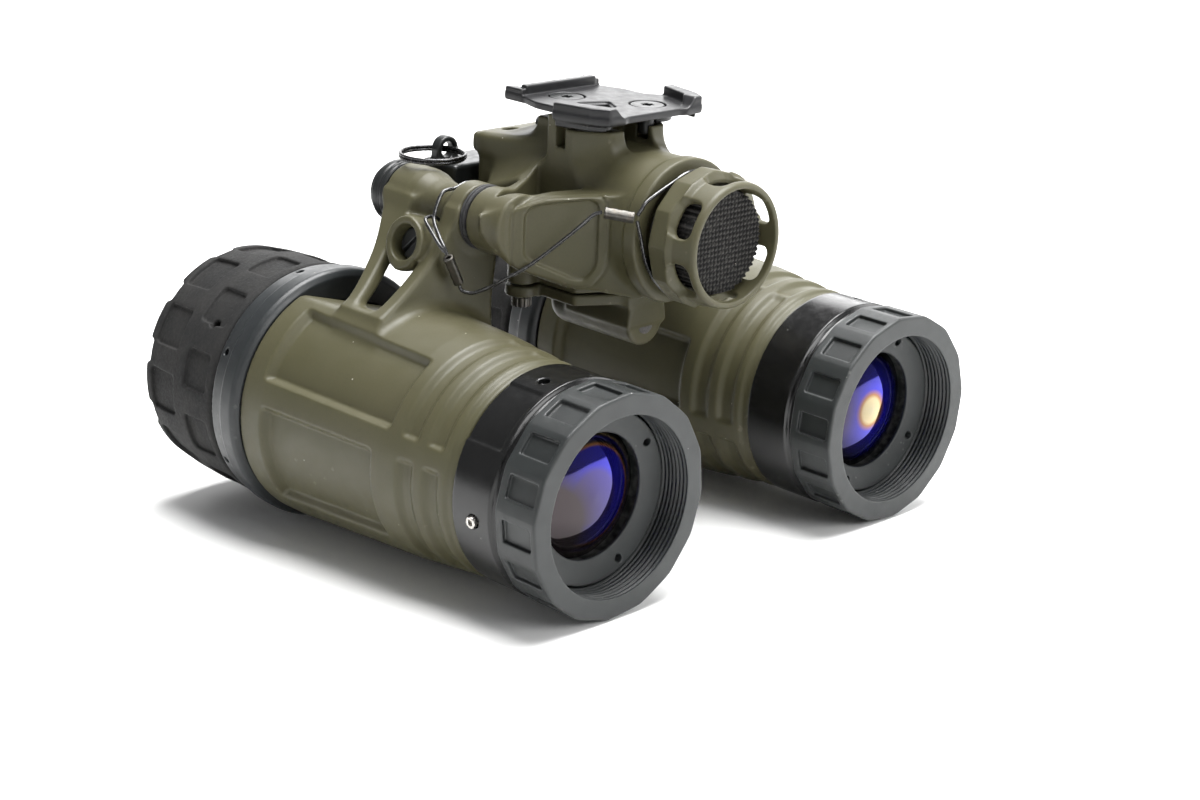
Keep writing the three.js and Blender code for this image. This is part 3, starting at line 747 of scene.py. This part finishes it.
def set_screw(x, y, z):
    """Clamp ring set screw with a hexagon socket."""
    out, side = beside(-CLAMP_SCREW, x, z)
    along = y - CLAMP_SCREW_Y
    radius = np.hypot(side, along)
    socket = radius * np.cos(faceted(np.arctan2(side, along), 6)) - 0.55
    head = both(radius - 1.2, slab(out, 20.9, 22.5), 0.25)
    return carve(head, both(socket, 21.7 - out, 0.1), 0.15)


cast_pair("clamp_screw", set_screw, (-21.6, 15.2, -10.2), (-18.3, 18, -6.6), 0.08, STEEL, "pod",
          slot="steel")

SEAL_PROFILE = rounded([(PIN_R + GAP, 55.3), (6.2, 55.3), (6.6, 55.5), (6.6, 55.95), (6.25, 56.1),
                        (6.6, 56.25), (6.6, 56.7), (6.2, 56.9), (PIN_R + GAP, 56.9)], 0.12)
for side, sign in SIDES:
    points, faces = lathe(SEAL_PROFILE, about=(sign * HINGE_X, HINGE_Z), steps=96)
    replacing(f"{side}_hinge_seal", points, faces, SEAL, "bridge", slot="rubber")


def hinge_screw(x, y, z):
    radius = np.hypot(x + HINGE_X, z - HINGE_Z)
    head = both(radius - 3.8, slab(y, 86, 87.4), 0.7)
    slot = both(slab(x + HINGE_X + 0.4 * (z - HINGE_Z), -0.5, 0.5), 86.7 - y, 0.1)
    return carve(head, slot, 0.2)


def cover_screw(x, y, z):
    """Spline-headed screw under the bridge, with a hexagon socket."""
    across, along = x + COVER_SCREW[0], y - COVER_SCREW[1]
    radius = np.hypot(across, along)
    angle = np.arctan2(along, across)
    head = both(radius - 2.1 + 0.18 * band(np.cos(12 * angle), 0.2, 2, 0.6), slab(z, 22, 24.1), 0.35)
    socket = radius * np.cos(faceted(angle, 6)) - 1.0
    return carve(head, both(socket, z - 23.4, 0.1), 0.2)


def bridge_pair(name, shape, low, high, step, look, slot):
    """A piece on each side of the bridge, shaped for the left."""
    points, faces, normals = meshed(shape, low, high, step)
    for side, sign in SIDES:
        mirrored = TUBE_FRAME @ Matrix.Diagonal((-sign, 1, 1, 1))
        replacing(f"{side}_{name}", points, faces, look, "bridge", to_part=mirrored, normals=normals,
                  slot=slot)


bridge_pair("hinge_screw", hinge_screw, (-29.2, 85.6, 36.8), (-20.8, 87.8, 45.2), 0.12, BRASS, "brass")
bridge_pair("cover_screw", cover_screw, (-19.4, 51.2, 21.8), (-14.6, 56, 24.4), 0.1, CRIMP, "steel")


# ---- bridge ----
# outlines on the slanting side face, as distance along it and height
SIDE_FACE = rounded([(-9, 43.6), (0.2, 45.2), (7, 47.7), (17.6, 48.4), (27, 48.4), (27, 27.4), (17, 29.0),
                     (12.6, 29.2), (1, 32.8)], 1.8)
SIDE_POCKET = rounded([(2.8, 44.6), (5, 46.2), (15.6, 47.6), (17.2, 46.6), (17.2, 34), (15, 31.2),
                       (12.8, 31.3), (2.8, 35.4)], 1.6)
SIDE_FRAME = rounded([(0.6, 45.2), (7, 47.2), (17.8, 48), (18.9, 45), (18.9, 33.6), (16, 30), (12.8, 30),
                      (0.6, 33.6)], 1.8)


def bridge_shape(x, y, z):
    """Battery tube, tower and rear block, with a wing, a hinge boss and a framed side face on each side."""
    side = np.abs(x)
    radius = np.hypot(x, z - BATTERY_Z)
    shell = both(radius - TURRET_R, slab(y, *TUBE_Y), 1.2)
    tower = prism([(-4, 60.5), (8, 60.5), (8, 52.7), (12.5, 52.7), (12.5, 45.9), (7.4, 39.3), (-4, 39.3)],
                  side, y, z, 44, TOWER_TOP, 0.5, 0.9)
    shape = merge(shell, tower, 4.5)
    block = prism([(-4, 56), (8, 56), (9, 58.5), (13.5, 70), (13.5, 71.8), (-4, 71.8)],
                  side, y, z, 36, BLOCK_Z, 2.0, 1.2)
    lip = prism([(-4, 62), (10.9, 62), (13.6, 69.5), (13.6, BLOCK_Y), (-4, BLOCK_Y)],
                side, y, z, 49.6, BLOCK_Z, 1.6, 1.5)
    wing = prism([(-4, 45.5), (24, 45.5), (24, BOSS_Y), (17.4, BOSS_Y), (16, 66), (-4, 66)],
                 side, y, z, 35, 52, 1.2, 1.0)
    ridge = (z - 46 - 0.30 * np.clip(24 - side, 0, 12) + 0.45 * np.maximum(y - 56, 0)) / 1.05
    wing = both(wing, ridge, 1.0)
    shape = merge(merge(shape, block, 4.0), lip, 1.2)
    shape = merge(shape, wing, 4.0)
    boss = rod(side, z, (HINGE_X, HINGE_Z), HINGE_R, y, 45.6, BOSS_Y, 0.7)
    shape = merge(shape, boss, 1.2)
    slant = 0.754 * (33.3 - y) + 0.657 * (side - 14.3)
    along = 0.754 * (28.3 - side) + 0.657 * (45.5 - y)
    panel = both(both(polygon(SIDE_FACE, along, z), slant, 0.8), y - 50.4, 0.8)
    shape = merge(shape, panel, 1.0)
    shape = carve(shape, both(polygon(SIDE_POCKET, along, z), -0.9 - slant, 0.7), 0.5)
    edge = polygon(SIDE_FRAME, along, z)
    shape = shape + 0.25 * band(np.abs(edge - 0.35), -1, 0.25, 0.4) * band(slant, -1.5, 1.5, 0.8)
    belly = prism([(-4, 37), (8, 37), (15, 40.5), (15, 54), (-4, 54)], side, y, z, 25, 34, 0.6, 0.5)
    shape = merge(shape, belly, 1.2)
    shape = merge(shape, rod(side, y, COVER_SCREW, 3, z, 25, 36, 0.5), 1.5)
    rim = both(radius - 14.75, slab(y, TUBE_Y[0], TUBE_Y[0] + 3.2), 0.5)
    shape = merge(shape, rim, 0.6)
    strip = prism([(-4, 50.2), (12.5, 50.2), (12.5, 52.7), (-4, 52.7)],
                  side, y, z, 50, SHOE_Z - GAP, 0.3, 0.5)
    shape = merge(shape, strip, 0.4)
    recess = prism([(28.2, 50.0), (12.8, 41.2), (12.4, 54.6)], side, y, z, 42.0, 60, 1.0, 1.2)
    shape = carve(shape, recess, 0.7)
    slot = both(both(slab(side, 9.6, 14), slab(y, 47.6, 50.2), 0.3), 54.8 - z, 0.3)
    shape = carve(shape, slot, 0.4)
    notch = both(both(side - 3.75, slab(y, 36, 47), 0.5), 55 - z, 0.8)
    shape = carve(shape, notch, 0.5)
    for place_x, place_y in SHOE_SCREWS.values():
        shape = carve(shape, both(np.hypot(x - place_x, y - place_y) - 1.8, 56 - z, 0.2), 0.2)
    shape = carve(shape, rod(x, y, KNOB_AT, 3.5, z, BLOCK_Z, 60, 0.2), 0.3)
    screw = both(np.hypot(x + 6.6, y - 69.6) - 1.7, 52.6 - z, 0.2)
    shape = carve(shape, screw, 0.4)
    shape = both(shape, COVER_TOP - z, 0.4)
    shape = carve(shape, both(radius - BATTERY_R - 0.6, y - 64.3, 0.3), 0.3)
    shape = carve(shape, both(radius - 11.4, y - TUBE_Y[0] - 1.2, 0.3), 0.3)
    shape = carve(shape, both(both(side - 8, slab(y, 42, 52), 0.3), z - COVER_TOP - 2, 0.3), 0.3)
    return carve(shape, both(np.hypot(side - HINGE_X, z - HINGE_Z) - PIN_R - GAP, 46.5 - y, 0.2), 0.3)


cast("bridge_housing", bridge_shape, (-32, 24.6, 26.6), (32, 74.4, 61.4), 0.33, OLIVE, "bridge",
     slot="olive_paint")


def cover_shape(x, y, z):
    """Bottom cover with two screw bosses and a lobe that hangs under its middle."""
    side = np.abs(x)
    top = COVER_TOP - GAP
    plate = prism([(-4, 34.8), (5, 34.8), (15, 40.5), (15, 55.6), (-4, 55.6)],
                  side, y, z, 24.4, top, 0.5, 0.6)
    shape = merge(plate, rod(side, y, COVER_SCREW, 3.4, z, 24.4, top, 0.5), 1.2)
    lobe = both(both(np.hypot(x, z - 20) - 5, y - 59, 3.5), 34.8 - y, 0.8)
    shape = merge(shape, lobe, 1.0)
    web = both(both(side - 5, slab(y, 34.8, 52), 0.5), slab(z, 20, 25.5), 0.5)
    return merge(shape, web, 2.0)


cast("bottom_cover", cover_shape, (-21, 34.4, 14.6), (21, 59.4, 27), 0.33, OLIVE, "bridge",
     slot="olive_paint")


def plug(name, centre, axis, radius):
    """A potted hole: a low disc of grey compound, highest in a ring round its middle."""
    profile = [(0, 0.05), (radius * 0.5, 0.12), (radius * 0.85, 0.10), (radius, 0.0)]
    profile += [(radius, -0.3), (0, -0.3)]
    points, faces = lathe(profile, steps=40)
    turn = np.array(Vector((0, 1, 0)).rotation_difference(Vector(axis)).to_matrix())
    points = points @ turn.T + np.array(centre)
    mesh_object(name, points, faces, POTTING, "bridge", slot="black_plastic")


plug("lobe_plug", (0, 34.7, 19.6), (0, -1, 0), 2.1)
for side, sign in SIDES:
    plug(f"{side}_boss_plug", (sign * 31.45, 49.6, 41.6), (sign, 0, 0.1), 1.9)


# ---- battery cap ----
def cap_shape(x, y, z):
    """Battery cap: a scalloped grip, a front band with six windows, and a spigot that enters the tube."""
    radius = np.hypot(x, z - BATTERY_Z)
    angle = np.arctan2(z - BATTERY_Z, x)
    outer = np.interp(y, [11.3, 12.2, 16.6, 17.9, 22.3], [12.3, 12.6, 12.9, 13.9, 13.9])
    cap = both(radius - outer, slab(y, 11.3, 22.3), 0.6)
    turn = faceted(angle, 12, math.radians(15))
    facet = both(13.35 - radius * np.cos(turn), slab(y, 17.6, 23), 0.4)
    lower = both(13.2 - radius * np.cos(turn), 17.9 - y, 0.3)
    cap = carve(cap, both(facet, lower, 0.3), 0.4)
    cap = carve(cap, both(radius - 11.2, y - 19.8, 0.4), 0.5)
    window = faceted(angle, 6, math.radians(30))
    across = np.abs(radius * np.sin(window))
    along = np.abs(y - 15.3)
    hole = np.hypot(np.maximum(across - 2.0, 0), np.maximum(along - 0.5, 0)) - 1.7
    chamfer = (radius - 12.0) * 0.55
    cap = carve(cap, both(hole - np.maximum(chamfer, 0), 9 - radius, 0.2), 0.35)
    return merge(cap, both(radius - 8.7, slab(y, 20, 27), 0.3), 0.3)


cast("battery_cap", cap_shape, (-14.2, 11, 26.6), (14.2, 27.2, 55), 0.22, OLIVE, "battery_cap",
     slot="olive_paint")


PAD_PITCH = 1.0


def pad_shape(x, y, z):
    """Woven pad: warp and weft stand out as rows of small bumps."""
    weave = np.abs(np.sin(x * math.pi / PAD_PITCH) * np.sin((z - BATTERY_Z + 14.2) * math.pi / PAD_PITCH))
    radius = np.hypot(x, z - BATTERY_Z)
    disc = both(radius - 10.4, slab(y, 14.45, 19.5), 0.8)
    return disc + 0.25 - 0.35 * weave


def weave_look():
    """Coarse black weave: lighter thread crossings over dark gaps, with lint caught in it."""
    f = Finish("woven_pad", (0.004, 0.004, 0.004), 0.8, specular=0.2)
    f.tint(f.ramp(f.weave(PAD_PITCH), 0.3, 0.9, 0, 0.9), (0.042, 0.040, 0.038))
    f.tint(f.ramp(f.noise(1.8, 4), 0.5, 0.7, 0, 0.3), (0.10, 0.095, 0.085))
    f.specks(0.8, 0.09, (0.35, 0.31, 0.27), share=0.4)
    return f.done()


cast("cap_pad", pad_shape, (-10.8, 14.1, 30), (10.8, 19.8, 51.6), 0.13, weave_look(), "battery_cap",
     slot="rubber")
CAP_SEAL = rounded([(9, 22.6), (10.9, 22.6), (10.9, 24.7), (9, 24.7)], 0.3)
replacing("cap_seal", *lathe(CAP_SEAL, about=(0, BATTERY_Z), steps=96), SEAL, "bridge", slot="rubber")


# ---- helmet mount shoe ----
SHOE_TOP = SHOE_Z + 1.5


def shoe_shape(x, y, z):
    """Plate with upright ears, skirts under them, a rear lip, and a triangular hole."""
    side = np.abs(x)
    plate = prism([(-4, 35), (7.5, 35), (8.5, 34.5), (13, 34.5), (15, 38), (17, 46.6), (14, 48.2),
                   (12.6, 50), (12.6, 56), (11, 61), (11, 67), (-4, 67)],
                  side, y, z, SHOE_Z, SHOE_TOP, 0.35, 0.5)
    ear = prism([(8.5, 34.5), (13, 34.5), (15, 38), (17, 46.6), (14.2, 46.6), (11.8, 38.6), (9.4, 36.6)],
                side, y, z, 62, 64.9, 0.4, 0.4)
    ear = both(ear, (z - 62 - (side - 8.4) * 1.1) / 1.5, 0.3)
    skirt = prism([(12.4, 35.6), (14.8, 38.6), (16.8, 46), (15.0, 46), (13.0, 39.2)],
                  side, y, z, 60.2, 62.5, 0.4, 0.3)
    shape = merge(merge(plate, ear, 0.6), skirt, 0.4)
    lip = both(both(side - 9.8, slab(y, 61.6, 63.4), 0.4), slab(z, 62, 64.9), 0.3)
    prow = prism([(9, 61.8), (11, 61.8), (11, 67), (9, 65)], side, y, z, 62, 64.2, 0.3, 0.3)
    shape = merge(merge(shape, lip, 0.3), prow, 0.4)
    for place_x, place_y in SHOE_SCREWS.values():
        away = np.hypot(x - place_x, y - place_y)
        shape = carve(shape, away - 1.9, 0.2)
        shape = carve(shape, both(away - 3.8, SHOE_TOP - 0.9 - z, 0.2), 0.3)
    hole = polygon(rounded([(-3, 43.3), (-0.1, 48.3), (-6, 50.6)], 1.0), x, y)
    shape = carve(shape, hole, 0.3)
    return carve(shape, both(hole - 0.5, SHOE_TOP - 0.5 - z, 0.3), 0.3)


cast("mount_shoe", shoe_shape, (-17.4, 34.2, 60), (17.4, 67.3, 65.2), 0.22, SHOE, "bridge",
     slot="black_plastic")

for place, (screw_x, screw_y) in SHOE_SCREWS.items():
    def flat_head(x, y, z):
        """Countersunk head with a six-lobed socket."""
        across, along = x - screw_x, y - screw_y
        radius = np.hypot(across, along)
        shank = both(radius - 1.5, slab(z, 57, SHOE_TOP - 0.3), 0.2)
        head = both(radius - 3.5, slab(z, SHOE_TOP - 0.6, SHOE_TOP - 0.1), 0.25)
        lobes = radius - 1.15 - 0.22 * np.cos(6 * np.arctan2(along, across))
        return carve(merge(shank, head, 0.2), both(lobes, SHOE_TOP - 1.4 - z, 0.1), 0.15)

    low = (screw_x - 3.8, screw_y - 3.8, 56.8)
    high = (screw_x + 3.8, screw_y + 3.8, 63.6)
    cast(f"shoe_screw_{place}", flat_head, low, high, 0.13, BLACK, "bridge", slot="black_anodised")


def post_shape(sign):
    """Round post between the tower and the shoe, cut where a shoe screw passes it."""
    def shape(x, y, z):
        post = rod(x, y, (sign * POST_X, POST_Y), 4, z, TOWER_TOP + GAP, SHOE_Z - GAP, 0.4)
        for place_x, place_y in SHOE_SCREWS.values():
            post = carve(post, np.hypot(x - place_x, y - place_y) - 1.8, 0.15)
        return post
    return shape


for side, sign in SIDES:
    low = (sign * POST_X - 4.3, POST_Y - 4.3, 59)
    high = (sign * POST_X + 4.3, POST_Y + 4.3, 61.3)
    cast(f"shoe_post_{side}", post_shape(sign), low, high, 0.16, BLACK, "bridge", slot="black_anodised")


# ---- rear bracket, split ring and knob ----
def bracket_shape(x, y, z):
    """Bar behind the arms that holds the hinge pins, with a lug for the split ring."""
    side = np.abs(x)
    front, rear, foot = ARM_END_Y + GAP, 84.2, HINGE_Z - 4.6
    bar = both(both(side - HINGE_X, slab(y, front, rear), 0.5), slab(z, foot, HINGE_Z + 5.4), 0.8)
    middle = both(side - 17.4, slab(y, BLOCK_Y + GAP, rear), 0.8)
    middle = both(middle, slab(z, foot, HINGE_Z + 5.9), 0.9)
    shape = merge(bar, middle, 1.0)
    shape = merge(shape, rod(side, z, (HINGE_X, HINGE_Z), HINGE_R, y, front, rear, 0.7), 0.8)
    shape = merge(shape, rod(side, z, (HINGE_X, HINGE_Z), 5.6, y, front, 85.7, 0.5), 0.4)
    groove = both(slab(np.hypot(side - HINGE_X, z - HINGE_Z), 6.35, 7.5), slab(y, 81.6, 82.2), 0.1)
    shape = carve(shape, both(groove, 18.6 - side, 0.2), 0.2)
    lug = both(np.hypot(x - LUG_X, np.maximum(z - LUG_Z, 0)) - 2.8, slab(y, 79.6, 82), 0.4)
    shape = merge(shape, both(lug, 45.5 - z, 0.3), 0.9)
    shape = carve(shape, np.hypot(x - LUG_X, z - LUG_Z) - 1.65, 0.3)
    return carve(shape, np.hypot(side - HINGE_X, z - HINGE_Z) - PIN_R - GAP, 0.3)


cast("rear_bracket", bracket_shape, (-32, 74, 34), (32, 86, 52.2), 0.3, BLACK, "bridge",
     slot="black_anodised")


def tube(path, radius, sides=12, lobes=0, pitch=1.0, closed=False):
    """Points and faces of a tube along a smooth path, its section optionally lobed like laid strands."""
    path = [Vector(p) for p in path]
    count = len(path)
    points = []
    normal = None
    travelled = 0.0
    for i, p in enumerate(path):
        ahead = path[(i + 1) % count] if closed else path[min(i + 1, count - 1)]
        behind = path[i - 1] if closed or i else path[0]
        tangent = (ahead - behind).normalized()
        normal = tangent.orthogonal() if normal is None else normal - tangent * normal.dot(tangent)
        normal.normalize()
        side = tangent.cross(normal)
        if i:
            travelled += (p - path[i - 1]).length
        for k in range(sides):
            a = 2 * math.pi * k / sides
            r = radius * (1 - 0.09 * (1 - math.cos(lobes * (a - travelled / pitch)))) if lobes else radius
            points.append(p + normal * (r * math.cos(a)) + side * (r * math.sin(a)))
    faces = []
    for i in range(count if closed else count - 1):
        j = (i + 1) % count
        for k in range(sides):
            m = (k + 1) % sides
            faces.append([i * sides + k, i * sides + m, j * sides + m, j * sides + k])
    if not closed:
        faces.append(list(range(sides))[::-1])
        faces.append([(count - 1) * sides + k for k in range(sides)])
    return np.array(points), faces


# the split ring is two turns of wire, the second above the first
RING_X, RING_Y = LUG_X - 5.9, 77.7
RING_STEPS = 96
coil = []
for i in range(2 * RING_STEPS + 1):
    a = 2 * math.pi * i / RING_STEPS - 0.6
    rise = 0.38 * min(max((i - 86) / 20, 0), 1)
    coil.append((RING_X + RING_R * math.cos(a), RING_Y + RING_R * math.sin(a), LUG_Z - 0.32 + 1.7 * rise))
replacing("split_ring", *tube(coil, 0.33), RING_STEEL, "split_ring", slot="steel", crease=60)


def knob_shape(x, y, z):
    """Low knurled knob with a pointer mark."""
    across, along = x - KNOB_AT[0], y - KNOB_AT[1]
    radius = np.hypot(across, along)
    floor = BLOCK_Z + GAP
    knurl = 0.12 * np.cos(24 * np.arctan2(along, across)) * band(z, floor, floor + 1.6, 0.3)
    knob = both(radius - 3.05 + knurl, slab(z, floor, floor + 2.2), 0.6)
    pointer = both(both(np.abs(across) - 0.3, np.abs(along - 1.4) - 1.0, 0.2), floor + 1.9 - z, 0.1)
    return carve(knob, pointer, 0.2)


low = (KNOB_AT[0] - 3.4, KNOB_AT[1] - 3.4, 54)
high = (KNOB_AT[0] + 3.4, KNOB_AT[1] + 3.4, 56.8)
cast("power_knob", knob_shape, low, high, 0.12, BLACK, "power_knob", slot="black_plastic")


# ---- tether ----
WIRE_R = 0.4


def groove(angle, radius):
    """A point round the groove behind the battery cap."""
    a = math.radians(angle)
    return (radius * math.cos(a), TUBE_Y[0] - 1.35, BATTERY_Z + radius * math.sin(a))


def neck(angle, radius):
    """A point round the neck of the left hinge barrel, in the pod's frame."""
    a = math.radians(angle)
    return (HX + radius * math.cos(a), NECK_Y[0] + 0.9, HZ + radius * math.sin(a))


CAP_LOOP = [(-15.3, 23.8, 46.6), (-14.4, 23.7, 47.6), (-12.7, 23.65, 49.2)]
CAP_LOOP += [groove(angle, 12.6) for angle in range(120, -150, -24)]
CAP_LOOP += [groove(-165, 13.2), groove(176, 14.2), (-15.3, 23.8, 45.5)]
FREE_WIRE = [(-20, 28.75, 46.95), (-20.8, 30.2, 46.2), (-21.6, 33, 43.4), (-23.6, 37.8, 38.6),
             (-26.3, 41.9, 34.4), (-29, 46, 31.1), (-30.4, 50.3, 28.3), (-31.6, 52.6, 27.3),
             (-32.6, 54.2, 27.6), (-33, 54.6, 28.6)]
HINGE_LOOP = [(-5.7, 54.6, 35.2), (-6, 55.6, 36.5), (-6, 57.6, 38.2), (-5.4, 61, 41.4), neck(160, 7.7)]
HINGE_LOOP += [neck(angle, 5.8) for angle in range(135, -150, -30)]
HINGE_LOOP += [(-3.6, 62.3, 41.4), (-6, 62, 41.2), (-7.4, 60.9, 40.4), (-7.3, 57.6, 38), (-6.9, 55.6, 36.4),
               (-6.3, 54.7, 35.6)]


def wire_piece(name, route, body, to_part=TUBE_FRAME):
    path = smooth_line(route, 8)
    points, faces = tube(path, WIRE_R, sides=18, lobes=6, pitch=0.55)
    piece = replacing(name, points, faces, WIRE, body, to_part=to_part, slot="wire_coat", crease=80)
    return piece, [to_part @ Vector(p) for p in path]


def crimp(x, y, z, ends, flat):
    """A crimped sleeve: a flattened tube with blunt edges and a bore for the wire."""
    start, end = (np.array(p) for p in ends)
    along = (end - start) / np.linalg.norm(end - start)
    side = np.cross(along, (0, 0, 1))
    side /= np.linalg.norm(side)
    over = np.cross(side, along)
    half = np.linalg.norm(end - start) / 2
    away = [place - middle for place, middle in zip((x, y, z), (start + end) / 2)]
    t, u, v = (away[0] * axis[0] + away[1] * axis[1] + away[2] * axis[2] for axis in (along, side, over))
    squeeze = 0.06 * band(np.cos(t * 3.2), 0.2, 2, 0.5)
    body = np.hypot(u * (1 + flat), v) - 1.16 + squeeze
    facets = both(np.abs(u + v) * 0.707 - 1.02, np.abs(u - v) * 0.707 - 1.02, 0.2)
    sleeve = both(both(body, facets, 0.2), np.abs(t) - half, 0.25)
    return carve(sleeve, both(np.hypot(u, v) - 0.5, half - 0.7 - np.abs(t), 0.1), 0.15)


def ferrule(name, ends, flat, body, to_part=TUBE_FRAME):
    low = np.min(ends, axis=0) - 1.3
    high = np.max(ends, axis=0) + 1.3
    return cast(name, lambda x, y, z: crimp(x, y, z, ends, flat), low, high, 0.1, CRIMP, body,
                to_part=to_part, slot="steel")


LEFT_POD = pod_frame(-1)
cap_ferrule = ferrule("cap_ferrule", [(-15.7, 24.2, 46.1), (-19.7, 28.4, 46.9)], 0.0, "bridge")
hinge_ferrule = ferrule("hinge_ferrule", [(-0.9, 54.6, 30.1), (-5.5, 54.4, 34.8)], 0.05, "left_pod",
                        LEFT_POD)
cap_loop, cap_path = wire_piece("cap_loop", CAP_LOOP, "bridge")
free_wire, free_path = wire_piece("tether_wire", FREE_WIRE, "bridge")
hinge_loop, hinge_path = wire_piece("hinge_loop", HINGE_LOOP, "left_pod", LEFT_POD)


# ---- pieces that stay as the CAD made them ----
def painted(name, look):
    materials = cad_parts[name].data.materials
    materials.clear()
    materials.append(look)


for side, sign in SIDES:
    painted(f"{side}_hinge_pin", STEEL)
    painted(f"{side}_objective_barrel", BLACK)
    painted(f"{side}_intensifier_tube", BLACK)
CIRCUIT = black_coat("solder_mask", (0.012, 0.07, 0.025), (0.3, 0.5), wear=0.1)
WRAP = black_coat("battery_wrap", (0.05, 0.06, 0.075), (0.25, 0.4), wear=0.1)
painted("battery", WRAP)
painted("contact_plate", BRASS)
painted("circuit_board", CIRCUIT)


# ---- floor and light ----
def add_floor():
    """The floor leans so that it meets both the flange rings and the focus rings."""
    flange = TUBE_FRAME @ Vector((0, 85.8, -FLANGE_R))
    focus = TUBE_FRAME @ Vector((0, 1.4, -FOCUS_R))
    slope = math.atan2(focus.z - flange.z, flange.y - focus.y)
    mesh = bpy.data.meshes.new("floor")
    size = 12
    corners = [(-size, -size, 0), (size, -size, 0), (size, size, 0), (-size, size, 0)]
    mesh.from_pydata(corners, [], [(0, 1, 2, 3)])
    floor = bpy.data.objects.new("floor", mesh)
    floor.rotation_euler = (-slope, 0, 0)
    floor.location = (0, flange.y, -0.0003)
    bpy.context.collection.objects.link(floor)
    f = Finish("floor_paper", (0.86, 0.86, 0.855), 0.9, specular=0.2)
    f.tint(f.ramp(f.noise(0.01, 3), 0.3, 0.7, 0, 0.4), (0.83, 0.83, 0.825))
    mesh.materials.append(f.done())


def add_light(name, place, aim, size, power, colour=(1, 1, 1)):
    lamp = bpy.data.lights.new(name, "AREA")
    lamp.shape = "RECTANGLE"
    lamp.size, lamp.size_y = size
    lamp.energy = power
    lamp.color = colour
    holder = bpy.data.objects.new(name, lamp)
    holder.location = place
    holder.rotation_euler = (Vector(aim) - Vector(place)).to_track_quat("-Z", "Y").to_euler()
    bpy.context.collection.objects.link(holder)


add_floor()
TARGET = (0, 0, 0.045)
add_light("overhead", (0.12, 0.02, 0.80), TARGET, (0.6, 0.6), 19)
add_light("front", (0.10, -0.95, 0.60), TARGET, (0.7, 0.4), 7)
add_light("left", (-0.95, 0.05, 0.35), TARGET, (0.4, 0.5), 0.4)
add_light("right", (0.85, -0.35, 0.40), TARGET, (0.4, 0.6), 4)
add_light("back", (0.68, 0.68, 0.40), TARGET, (1.0, 0.5), 6)
world = bpy.data.worlds.new("studio")
world.use_nodes = True
world.node_tree.nodes["Background"].inputs["Color"].default_value = (0.95, 0.96, 0.97, 1)
world.node_tree.nodes["Background"].inputs["Strength"].default_value = 0.27
bpy.context.scene.world = world
bpy.context.scene.view_settings.view_transform = "Standard"
